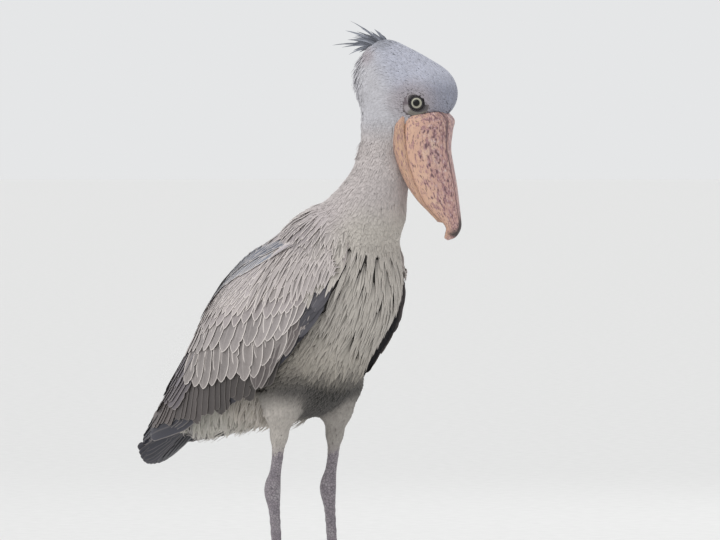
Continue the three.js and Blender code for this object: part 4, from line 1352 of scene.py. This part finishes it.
def breast_kept(s, a, draw):
    """The breast's plumes, with some left out where they stand apart."""
    kept = (a > 100) & (mantle_share(s, a) < 0.75)
    kept &= draw.random(len(s)) > 0.22 * gap_share(s)
    return kept & fading(s, draw)


body_coat(
    "coat_breast", seed=3, lanes=body_lanes(0.33, 0.7, 11.0), across_gap=6.8, keep=breast_kept,
    length=plume_length, width=lambda s, a: mix(6.5, 8.6, down_to(s, 0.68, 0.12)), style=PLUME,
    lifts=lambda s, a, draw: (-2.2, mix(0.8, 2.6, between(s, 0.36, 0.7, 0.12))),
    material=LOOSE_PLUME, swirl=0.15, pull=0.1,
    rim=lambda s, a: mix(0.3, 0.7, down_to(a, 150, 40)) * between(s, 0.4, 0.7, 0.1),
    over_wings=lambda s: mix(10, 17, up_from(s, 0.44, 0.05)),
)
body_coat(
    "coat_mantle", seed=13, lanes=body_lanes(0.43, 0.7, 9.5), across_gap=10.5,
    keep=lambda s, a, draw: (mantle_share(s, a) > 0.15) & fading(s, draw),
    length=52, width=lambda s, a: mix(9, 13, down_to(s, 0.66, 0.12)), style=MANTLE, lifts=(-2.2, 3.0),
    material=LOOSE_PLUME, swirl=-0.35, pull=0.2,
    rim=lambda s, a: 0.95 * down_to(s, 0.72, 0.1), over_wings=24,
    darker=lambda s, a: mix(1, 0.8, down_to(s, 0.66, 0.08)),
)
body_coat(
    "coat_neck", seed=4, lanes=body_lanes(0.6, 1.0, 4.6), across_gap=4.0,
    keep=lambda s, a, draw: s > 0,
    length=lambda s, a: mix(12, 18, down_to(s, 0.8, 0.15)) + 9 * nape_ruff(s, a), width=5.0, style=SHORT,
    lifts=lambda s, a, draw: (-0.9, 0.7 + nape_ruff(s, a) * draw.random(len(s)) ** 3 * 7),
    pull=0.03, rim=0.12, wander=0.05,
)
body_coat(
    "coat_back", seed=5, lanes=body_lanes(0.02, 0.5, 13), across_gap=15,
    keep=lambda s, a, draw: a < 78,
    length=44, width=22, style=ROUNDED,
    lifts=lambda s, a, draw: (mix(-2.4, 22, shoulder_ridge(s, a)), mix(2.6, 28, shoulder_ridge(s, a))),
    material=COVERT, rim=0.3, over_wings=8,
)
body_coat(
    "coat_belly", seed=6, lanes=body_lanes(0.0, 0.4, 6.0), across_gap=5.8,
    keep=lambda s, a, draw: a > 68,
    length=lambda s, a: mix(24, 18, smooth(s / 0.3)), width=7.6, style=LOOSE, lifts=(-1.6, 1.1),
    rim=0.1, field=flesh_depth,
)
body_coat(
    "coat_vent", seed=7, lanes=body_lanes(-0.03, 0.24, 8), across_gap=8,
    keep=lambda s, a, draw: a > 92,
    length=lambda s, a: mix(66, 40, smooth(s / 0.24)), width=8.0, style=LOOSE,
    lifts=lambda s, a, draw: (-1.0, draw.uniform(3, 20, len(s))),
    rim=0.4, pull=0.45, wander=0.22,
)


# Head coat: rings round an axis from the forehead to the nape
def head_sphere(polar, angle):
    """Point of the head's skin at a polar angle from the forehead and a turn round that axis."""
    polar, angle = together(polar, angle)
    share = polar / 180
    origin = head_point(mix(72, 8, smooth(share)), 0 * share, mix(946, 938, share))
    turn, tip = np.radians(angle)[..., None], np.radians(polar)[..., None]
    direction = HEAD_FORWARD * np.cos(tip) + (UP * np.cos(turn) + HEAD_LEFT * np.sin(turn)) * np.sin(tip)
    return origin + direction * reach(trunk_depth, origin, direction, 0.0)[..., None]


def face_gap(p):
    """How far a point lies outside the bare skin round the nearer eye."""
    near = np.full(len(p), 1e3)
    for side in SIDES.values():
        out, ahead, upward = eye_axes(side)
        offset = p - eye_centre(side)
        turn = np.arctan2(offset @ upward, offset @ ahead)
        gap = np.hypot(offset @ ahead, offset @ upward) - round_eye(turn, BARE_EDGE)
        near = np.where((offset @ out) > -8, np.minimum(near, gap), near)
    return near


def bill_gap(points):
    """How far points lie outside the bill, below zero inside it."""
    gap = np.full(len(points), 1e3)
    for tree in BILL_TREES:
        for i, p in enumerate(points):
            place, normal, _, _ = tree.find_nearest(p.tolist())
            off = Vector(p.tolist()) - place
            gap[i] = min(gap[i], math.copysign(off.length, off.dot(normal)))
    return gap


def head_coat():
    """Short feathers over the head, clear of the bare face and the bill."""
    draw = np.random.default_rng(8)
    lanes = np.arange(1.5, 176, 2.3)
    polar, angle = rows_round(head_sphere, lanes, 3.0, draw)
    polar = polar + draw.uniform(-0.8, 0.8, len(polar))
    roots = head_sphere(polar, angle)
    z = in_head(roots)[:, 2]
    chosen = (z > 872) & (face_gap(roots) > -1.0)
    chosen[chosen] = bill_gap(roots[chosen]) > 1.0
    roots, polar, angle = roots[chosen], polar[chosen], angle[chosen]
    h, _, z = in_head(roots).T
    bill_base = head_point(118, 0, 912)
    away = unit(roots - bill_base)
    down = down_to(h, 60, 80)[:, None]
    heading = unit(away * (1 - down) - UP * down - HEAD_FORWARD * 0.55) + draw.normal(0, 0.04, roots.shape)
    nape = smooth((-12 - h) / 30)
    lengths = mix(9.5, 13, down_to(h, 40, 50)) + 10 * nape * up_from(z, 900, 60)
    lengths = lengths * varied(draw, len(h)) * mix(0.62, 1, smooth(face_gap(roots) / 16))
    widths = mix(3.4, 4.1, smooth(face_gap(roots) / 16)) * varied(draw, len(h))
    tips = 0.28 + nape * draw.random(len(h)) ** 3 * mix(3, 11, up_from(z, 950, 50))
    lines, outs = lay_on(trunk_depth, roots, heading, lengths, (-0.3, tips), SHORT["t"])
    points = feather_points(lines, outs, widths, SHORT, draw)
    add_feathers("coat_head", points, SHORT, SOFT, coat_colour(lines[:, 2]), 0.15 + 0 * h,
                 widths, ring_bake(angle, polar / 190 + 0.02), draw)


head_coat()


def thigh_coat(name, leg):
    """Short feathers down a thigh, thinning out above the shank."""
    draw = np.random.default_rng(9 + leg["side"])
    line = vec(*thigh_line(leg))

    def ring(lane, angle):
        lane, angle = together(lane, angle)
        origin = along(line[:, :3], lane)
        turn = np.radians(angle)[..., None]
        direction = vec(-1, 0, 0) * np.cos(turn) + vec(0, 1, 0) * np.sin(turn)
        return origin + direction * reach(flesh_depth, origin, direction, 0.0)[..., None]
    lanes = np.arange(0.2, 0.99, 0.022)
    lane, angle = rows_round(ring, lanes, 4.2, draw)
    lane = lane + draw.uniform(-0.008, 0.008, len(lane))
    roots = ring(lane, angle)
    chosen = (trunk_depth(roots) > -4) & (np.linalg.norm(roots - along(line[:, :3], lane), axis=1) < 60)
    chosen &= draw.random(len(lane)) > up_from(lane, 0.86, 0.12)
    roots, lane, angle = roots[chosen], lane[chosen], angle[chosen]
    heading = unit(vec(-0.15, 0, -1) + draw.normal(0, 0.06, roots.shape))
    lengths = mix(18, 7, smooth(lane)) * varied(draw, len(lane))
    tips = mix(0.7, 0.1, smooth(lane / 0.9))
    lines, outs = lay_on(flesh_depth, roots, heading, lengths, (-0.7, tips), SHORT["t"])
    ok = wing_cover(roots, outs[:, 0]) < HIDDEN_COVER
    lines, outs, lane, angle = lines[ok], outs[ok], lane[ok], angle[ok]
    widths = np.full(ok.sum(), 5.2)
    points = feather_points(lines, outs, widths, SHORT, draw)
    add_feathers(f"coat_thigh_{name}", points, SHORT, SOFT, coat_colour(lines[:, 2]),
                 np.full(ok.sum(), 0.12), widths, ring_bake(angle, lane * 0.95), draw)


for name, leg in LEGS.items():
    thigh_coat(name, leg)


# Wings: a body under the feathers, then tiers of feathers from the lowest to the highest
def make_wing_body(side):
    """A closed form between the wing's sheet and the body's flank."""
    rows, columns, depth_columns = 60, 32, 16
    u = np.linspace(0.01, 0.9, rows)[:, None]
    outer = wing_point(u, np.linspace(0.0, 0.93, columns)[None], side, -4.0)
    share = (np.arange(depth_columns) + 1) / (depth_columns + 1)
    depth = along(WING_DEPTH, u) * np.sin(np.pi * share)
    inner = wing_point(u, 0.93 * (1 - share)[None], side, -depth - 4.0)
    rings = np.concatenate([outer, inner], 1)
    return tube_points(rings), tube_faces(rows, rings.shape[1])


def wing_tier(name, roots, tips, count, width, rise, style, colour, rim, end_width=None, end_colour=None):
    """A row of feathers, with lines of places for its roots and tips. Its last feathers may differ."""
    return {
        "name": name, "roots": roots, "tips": tips, "count": count, "rise": rise, "style": style, "rim": rim,
        "width": (width, end_width or width),
        "colour": (colour, colour if end_colour is None else end_colour),
    }


FLIGHT_STYLE = make_style(26, 10, 0.7, 0.86, 2.4, 0.5, 0.6, 0.02, tilt=0.04, ragged=0.012)
COVERT_STYLE = make_style(18, 8, 0.7, 0.48, 2.0, 0.72, 0.6, 0.03, tilt=0.035, ragged=0.015)
SMALL_STYLE = make_style(12, 4, 0.7, 0.45, 2.0, 0.65, 0.5, 0.05, tilt=0.05, ragged=0.03)
TIER_SLOPE = 2.0
ROOT_SINK = 2.0
HIGHEST_ROOT = -0.04
VANE_SPLITS = 0.04

WING_TIERS = [
    # The under tier is dark along the wing's lower edge: partly its own dark coverts and partly painted
    # shade between the wing and the flank.
    wing_tier(
        "under", [(0.07, 0.84), (0.2, 0.86), (0.36, 0.88)], [(0.15, 0.95), (0.29, 0.97), (0.44, 1.0)],
        9, 30, -2.6, COVERT_STYLE, srgb("3f3e45"), 0.0,
    ),
    wing_tier(
        "primary", [(0.56, 0.90), (0.58, 0.7), (0.52, 0.25)], [(0.93, 1.14), (1.03, 0.95), (1.03, 0.12)],
        10, 34, -1.4, FLIGHT_STYLE, TAIL_DARK, 0.45,
    ),
    wing_tier(
        "secondary", [(0.12, 0.74), (0.24, 0.66), (0.40, 0.55), (0.56, 0.42), (0.66, 0.24)],
        [(0.24, 0.97), (0.38, 0.99), (0.55, 0.99), (0.74, 0.96), (0.92, 0.8)],
        22, 36, 0.4, FLIGHT_STYLE, srgb("322d2b"), 0.3, None, srgb("5c5453"),
    ),
    wing_tier(
        "tertial_low", [(0.42, 0.44), (0.46, 0.22)], [(0.72, 0.74), (0.86, 0.42)],
        6, 40, 1.8, FLIGHT_STYLE, srgb("655e63"), 0.6,
    ),
    wing_tier(
        "tertial", [(0.42, 0.3), (0.46, 0.04)], [(0.7, 0.5), (0.86, 0.12)],
        6, 40, 3.0, FLIGHT_STYLE, srgb("6b656c"), 0.6,
    ),
    wing_tier(
        "front", [(0.06, 0.78), (0.12, 0.74), (0.2, 0.76)], [(0.14, 0.96), (0.2, 0.97), (0.28, 0.99)],
        8, 34, 4.2, COVERT_STYLE, srgb("6b6463"), 0.35,
    ),
    wing_tier(
        "greater", [(0.15, 0.68), (0.22, 0.62), (0.31, 0.57), (0.39, 0.52), (0.48, 0.4)],
        [(0.2, 0.95), (0.27, 0.91), (0.37, 0.86), (0.48, 0.83), (0.6, 0.67)],
        10, 50, 4.4, COVERT_STYLE, srgb("98918f"), 0.9, 44,
    ),
    wing_tier(
        "median_low", [(0.08, 0.64), (0.13, 0.58), (0.2, 0.5), (0.3, 0.39), (0.41, 0.27), (0.5, 0.1)],
        [(0.14, 0.88), (0.19, 0.82), (0.26, 0.74), (0.38, 0.63), (0.5, 0.5), (0.61, 0.3)],
        14, 38, 6.4, COVERT_STYLE, srgb("a19a99"), 0.95,
    ),
    wing_tier(
        "median_high", [(0.06, 0.52), (0.1, 0.45), (0.18, 0.36), (0.28, 0.27), (0.38, 0.16), (0.46, 0.02)],
        [(0.11, 0.78), (0.15, 0.72), (0.22, 0.62), (0.34, 0.51), (0.46, 0.37), (0.57, 0.18)],
        17, 32, 7.8, COVERT_STYLE, srgb("a49c9c"), 1.0,
    ),
]

# Roots and tips of the lowest and the highest of the lesser tiers, which the others lie between
LESSER_TIERS = 7
LESSER_LOWEST = vec(
    [(0.02, 0.5), (0.14, 0.34), (0.27, 0.2), (0.43, 0.03)],
    [(0.07, 0.72), (0.19, 0.55), (0.35, 0.4), (0.54, 0.18)],
)
LESSER_HIGHEST = vec(
    [(-0.05, 0.1), (0.08, 0.03), (0.22, 0.0), (0.4, -0.06)],
    [(0.0, 0.3), (0.13, 0.2), (0.29, 0.14), (0.5, 0.05)],
)
for k, share in enumerate(np.linspace(0, 1, LESSER_TIERS)):
    colour = mix(srgb("aba3a2"), srgb("a9a1a4"), share)
    places = mix(LESSER_LOWEST, LESSER_HIGHEST, share)
    WING_TIERS.append(wing_tier(
        f"lesser_{k}", *places, 20, 24, mix(9.0, 10.6, share), SMALL_STYLE, colour, 1.0,
    ))

WING_TIERS += [
    wing_tier(
        "wrist", [(0.02, 0.66), (0.02, 0.8), (0.03, 0.9)], [(0.1, 0.74), (0.11, 0.86), (0.13, 0.98)],
        7, 28, 5.0, SMALL_STYLE, srgb("4b4a50"), 0.0,
    ),
    wing_tier(
        "wrist_top", [(-0.01, 0.64), (0.0, 0.8), (0.01, 0.9)], [(0.06, 0.7), (0.07, 0.85), (0.08, 0.97)],
        8, 24, 6.0, SMALL_STYLE, srgb("56545a"), 0.0,
    ),
]

# Roots and tips of the lowest shoulder tier, and the step from one to the next
SHOULDER_TIERS = 5
SHOULDER_LOWEST = vec(
    [(-0.08, 0.52), (0.0, 0.44), (0.07, 0.34), (0.16, 0.2)],
    [(-0.01, 0.93), (0.06, 0.84), (0.12, 0.7), (0.23, 0.52)],
)
SHOULDER_STEP = vec(0.012, 0.13)
for k in range(SHOULDER_TIERS):
    WING_TIERS.append(wing_tier(
        f"shoulder_{k}", *(SHOULDER_LOWEST - SHOULDER_STEP * k), 15, 17, 10.4 + 0.6 * k, MANTLE,
        mix(MANTLE_MAUVE, BREAST_GREY, 0.3), 0.95,
    ))

WING_TIERS += [
    wing_tier(
        "scapular_low", [(0.04, 0.04), (0.16, 0.02), (0.28, 0.0), (0.4, -0.03)],
        [(0.2, 0.19), (0.32, 0.15), (0.43, 0.11), (0.54, 0.05)],
        16, 26, 12.4, COVERT_STYLE, srgb("7b808c"), 0.8,
    ),
    wing_tier(
        "scapular_high", [(0.0, 0.02), (0.12, 0.0), (0.24, -0.02), (0.38, -0.03)],
        [(0.13, 0.11), (0.26, 0.08), (0.39, 0.05), (0.51, 0.01)],
        18, 22, 13.6, COVERT_STYLE, srgb("646976"), 0.65,
    ),
    wing_tier(
        "mantle_low", [(-0.06, 0.0), (0.01, 0.02), (0.06, 0.04)], [(0.07, 0.16), (0.13, 0.17), (0.18, 0.2)],
        13, 15, 14.6, MANTLE, srgb("a29ca3"), 0.9,
    ),
    wing_tier(
        "mantle_top", [(-0.12, -0.03), (-0.06, -0.03), (0.0, 0.0)],
        [(0.02, 0.06), (0.07, 0.1), (0.12, 0.14)],
        13, 15, 15.4, MANTLE, srgb("a8a1a5"), 0.9,
    ),
]


def wing_normal(u, v, side):
    """Outward direction of the wing's sheet."""
    step = 0.012
    inner = np.clip(v, 0.02, 0.96)
    along_u = wing_point(u + step, v, side) - wing_point(u - step, v, side)
    along_v = wing_point(u, inner + step, side) - wing_point(u, inner - step, side)
    return unit(np.cross(along_u, along_v)) * side


def wing_feathers(name, side):
    """A piece for each tier of one wing, from the lowest."""
    draw = np.random.default_rng(20 + side)
    for tier in WING_TIERS:
        count, style = tier["count"], tier["style"]
        place = (np.arange(count) + draw.uniform(-0.12, 0.12, count)) / (count - 1)
        root = along(tier["roots"], place)
        root[:, 1] = np.maximum(root[:, 1], HIGHEST_ROOT)
        tip = along(tier["tips"], place)
        stretch = draw.uniform(0.92, 1.09, (count, 1, 1))
        t = style["t"]
        travel = root[:, None] + (tip - root)[:, None] * stretch * t[None, :, None]
        bend = draw.normal(0, 0.006, (count, 1)) * t * t
        u, v = travel[..., 0], travel[..., 1] + bend
        rise = tier["rise"] - ROOT_SINK + ROOT_SINK * smooth(t / 0.3) + TIER_SLOPE * t
        rise = rise + (np.arange(count)[:, None] % 2) * 0.2
        lines = wing_point(u, v, side, rise)
        outs = wing_normal(u, v, side)
        if style is MANTLE:
            ahead = down_to(root[:, :1], 0.05, 0.05) * smooth(1 - t / 0.5)
            sink = np.maximum(trunk_depth(lines) + ROOT_SINK, 0) * ahead
            lines = lines - slope_of(trunk_depth, lines) * sink[..., None]
        widths = mix(*tier["width"], place) * draw.uniform(0.92, 1.08, count)
        leaned = dict(style, tilt=-side * style["tilt"])
        points = feather_points(lines, outs, widths, leaned, draw, VANE_SPLITS)
        finish = FLIGHT if style is FLIGHT_STYLE else LOOSE_PLUME if style is MANTLE else COVERT
        colours = mix(*tier["colour"], place[:, None]) * draw.uniform(0.93, 1.07, (count, 1))
        if side > 0 and tier["name"].startswith("wrist"):
            colours = mix(colours, MANTLE_MAUVE, 0.5)
        rims = tier["rim"] * draw.uniform(0.85, 1.0, count)
        add_feathers(f"wing_{tier['name']}_{name}", points, style, finish, colours, rims,
                     widths, root * 0.8 + 0.1, draw)


for name, side in SIDES.items():
    points, faces = make_wing_body(side)
    # Painted shade: the wing's body under the feathers is dark grey, for the shade between them, and paler
    # mauve towards its top, more so on the left wing.
    high = up_from(points[:, 2], 556, 40)[:, None] * (0.7 if side > 0 else 0.25)
    colours = mix(srgb("3c3b42"), MANTLE_MAUVE, high)
    add_piece(f"wing_body_{name}", points, faces, SKIN_FINISH, [f"wing_{name}"],
              colours=colours)
    wing_feathers(name, side)


# Tail: twelve feathers fanned from the root, with coverts over it
TAIL_ROOT, TAIL_TIP = vec(-222, 0, 378), vec(-345, 0, 272)
TAIL_ROOT_HALF_WIDTH, TAIL_HALF_WIDTH, TAIL_FLARE = 30, 56, 24


def tail_point(u, v, rise):
    """Point and outward direction of the tail's fan, u down it and v across it."""
    u, v = together(u, v)
    point = TAIL_ROOT + (TAIL_TIP - TAIL_ROOT) * u[..., None]
    point[..., 1] = v * mix(TAIL_ROOT_HALF_WIDTH, TAIL_HALF_WIDTH, u)
    point[..., 2] += TAIL_FLARE * u * v * v
    out = unit(np.stack([-0.65 + 0 * v, -0.4 * v, 0.76 + 0 * v], -1))
    return point + out * np.asarray(rise)[..., None], out


def tail_feathers(name, seed, count, start, ends, width, rise, style, colour, rim, replaces=()):
    draw = np.random.default_rng(seed)
    v = np.linspace(-1, 1, count)
    t = style["t"]
    length = mix(start, ends * (1 - 0.1 * v * v), t[:, None]).T
    height = rise - 10 * np.abs(v)[:, None] + (t - 1) * 2.0
    lines, outs = tail_point(length, v[:, None] * mix(0.7, 1.04, t), height)
    widths = width * draw.uniform(0.95, 1.05, count)
    points = feather_points(lines, outs, widths, style, draw, VANE_SPLITS)
    bake = np.stack([v * 0.4 + 0.5, np.full(count, start + 0.4)], -1)
    colours = np.repeat(colour[None], count, 0)
    add_feathers(name, points, style, FLIGHT, colours, np.full(count, rim), widths, bake,
                 draw, replaces)


TAIL_STYLE = dict(FLIGHT_STYLE, tilt=0.0)
COVER_STYLE = dict(COVERT_STYLE, tilt=0.0)
tail_feathers("tail_feathers", 31, 12, 0.0, 1.07, 32, 6.0, TAIL_STYLE, TAIL_DARK, 0.3, ["tail"])
tail_feathers("tail_coverts", 32, 9, -0.2, 0.6, 32, 9.0, COVER_STYLE, srgb("4a4953"), 0.2)
tail_feathers("tail_under", 33, 11, -0.1, 0.42, 24, -7.0, COVER_STYLE, VENT_PALE, 0.4)


# Crest of loose feathers at the back of the crown, as tufts: root in the head's frame, lean and swing in
# degrees, length and width
CREST = [
    ((-8, 2, 1038), 50, 4, 66, 5), ((-12, -5, 1037), 30, -6, 56, 8), ((-20, -1, 1033), 13, -4, 70, 6),
    ((-26, 6, 1029), -2, 10, 44, 6), ((0, -4, 1040), 48, -10, 34, 9), ((2, 5, 1040), 60, 8, 28, 8),
    ((-14, -10, 1034), 22, -14, 44, 8), ((-10, 9, 1036), 38, 12, 46, 7),
]
CREST_STYLE = make_style(14, 0, 0.6, 0.15, 1.1, 0.8, 0.5, 0.1, ragged=0.08)
CREST_STRANDS = 5
STRAND_CURVE = 0.22


def crest():
    """Tufts of narrow strands, each tuft's first strand its longest."""
    draw = np.random.default_rng(41)
    lines, outs, widths, shades = [], [], [], []
    t = CREST_STYLE["t"]
    for root, lean, swing, length, width in CREST:
        for strand in range(CREST_STRANDS):
            tilt = math.radians(lean + draw.normal(0, 2.4)) - STRAND_CURVE * t
            turn = math.radians(swing + draw.normal(0, 3))
            back = -HEAD_FORWARD * math.cos(turn) + HEAD_LEFT * math.sin(turn)
            start = head_point(*root) + draw.normal(0, 1.1, 3)
            long = length * (1.06 if strand == 0 else draw.uniform(0.45, 0.9))
            run = mix(-8, long, t)[:, None]
            lines.append(start + back * run * np.cos(tilt)[:, None] + UP * run * np.sin(tilt)[:, None])
            roll = draw.uniform(0.6, 2.4)
            lift = UP * np.cos(tilt)[:, None] - back * np.sin(tilt)[:, None]
            outs.append(lift * math.cos(roll) + np.cross(back, UP) * math.sin(roll))
            widths.append(width * draw.uniform(0.7, 1.1))
            shades.append(draw.uniform(0.6, 1.0))
    lines, outs, widths = np.array(lines), np.array(outs), np.array(widths)
    points = feather_points(lines, outs, widths, CREST_STYLE, draw)
    colours = srgb("9a9ea9") * np.array(shades)[:, None]
    bake = draw.uniform(0.1, 0.9, (len(lines), 2))
    add_feathers("crest", points, CREST_STYLE, SOFT, colours, 0 * widths, widths, bake, draw)


crest()


# Stage: pale floor, soft light and the camera
def floor_finish():
    finish = Finish("pale_floor", Roughness=0.9)
    grain = finish.noise(finish.place(), 30, 3)
    finish.feed("Base Color", finish.ramp(grain, [(0.3, (0.73, 0.73, 0.725)), (0.7, (0.77, 0.77, 0.765))]))
    return finish.material


def make_floor():
    columns, radii = 96, [0.01, 0.5, 2, 8, 40, 200]
    turn = turns(columns)
    ring = np.stack([np.cos(turn), np.sin(turn), 0 * turn], -1)
    points = np.concatenate([ring * r for r in radii])
    mesh = bpy.data.meshes.new("floor")
    mesh.from_pydata([tuple(p) for p in points], [], grid_faces(len(radii), columns, True).tolist())
    mesh.materials.append(floor_finish())
    floor = bpy.data.objects.new("floor", mesh)
    floor.location.z = -0.0004
    bpy.context.scene.collection.objects.link(floor)


def add_aimed(name, data, place, target):
    """A light or camera at a place, turned towards a target."""
    thing = bpy.data.objects.new(name, data)
    thing.location = place
    thing.rotation_euler = (Vector(target) - Vector(place)).to_track_quat("-Z", "Y").to_euler()
    bpy.context.scene.collection.objects.link(thing)
    return thing


def add_light(name, kind, place, target, size, power, colour=(1, 1, 1)):
    """A soft sun of an angle in degrees, or a disc of a width in metres."""
    data = bpy.data.lights.new(name, kind)
    if kind == "SUN":
        data.angle = math.radians(size)
    else:
        data.shape = "DISK"
        data.size = size
    data.energy = power
    data.color = colour
    add_aimed(name, data, place, target)


VIEW_AZIMUTH = math.radians(40)
CAMERA_DISTANCE = 11.0
CAMERA_HEIGHT = 0.837
PIXEL = 1.8
PHOTO_WIDTH, PHOTO_HEIGHT = 720, 540
GROUND_ROW, ORIGIN_COLUMN = 620, 300


def make_camera():
    """A long lens that shows the bird at the size and place of the reference view."""
    right = vec(math.cos(VIEW_AZIMUTH), math.sin(VIEW_AZIMUTH), 0)
    back = vec(math.sin(VIEW_AZIMUTH), -math.cos(VIEW_AZIMUTH), 0)
    aim = right * (PHOTO_WIDTH / 2 - ORIGIN_COLUMN) * PIXEL
    aim = to_metres(aim + UP * (GROUND_ROW - PHOTO_HEIGHT / 2) * PIXEL)
    place = aim + back * CAMERA_DISTANCE
    place[2] = CAMERA_HEIGHT
    data = bpy.data.cameras.new("camera")
    data.sensor_width = 36
    data.lens = data.sensor_width * CAMERA_DISTANCE * METRE / (PHOTO_WIDTH * PIXEL)
    data.clip_end = 1000
    bpy.context.scene.camera = add_aimed("camera", data, place, aim)


def make_stage():
    make_floor()
    make_camera()
    world = bpy.data.worlds.new("studio")
    world.use_nodes = True
    world.node_tree.nodes["Background"].inputs["Color"].default_value = (0.98, 0.99, 1.0, 1)
    world.node_tree.nodes["Background"].inputs["Strength"].default_value = 0.8
    bpy.context.scene.world = world
    bpy.context.scene.view_settings.view_transform = "Standard"
    middle = (0, 0, 0.6)
    add_light("key", "SUN", (-0.9, -2.2, 3.2), middle, 60, 1.05, (1, 0.985, 0.96))
    add_light("rear", "AREA", (-1.0, 3.4, 2.6), middle, 3.0, 12)


make_stage()
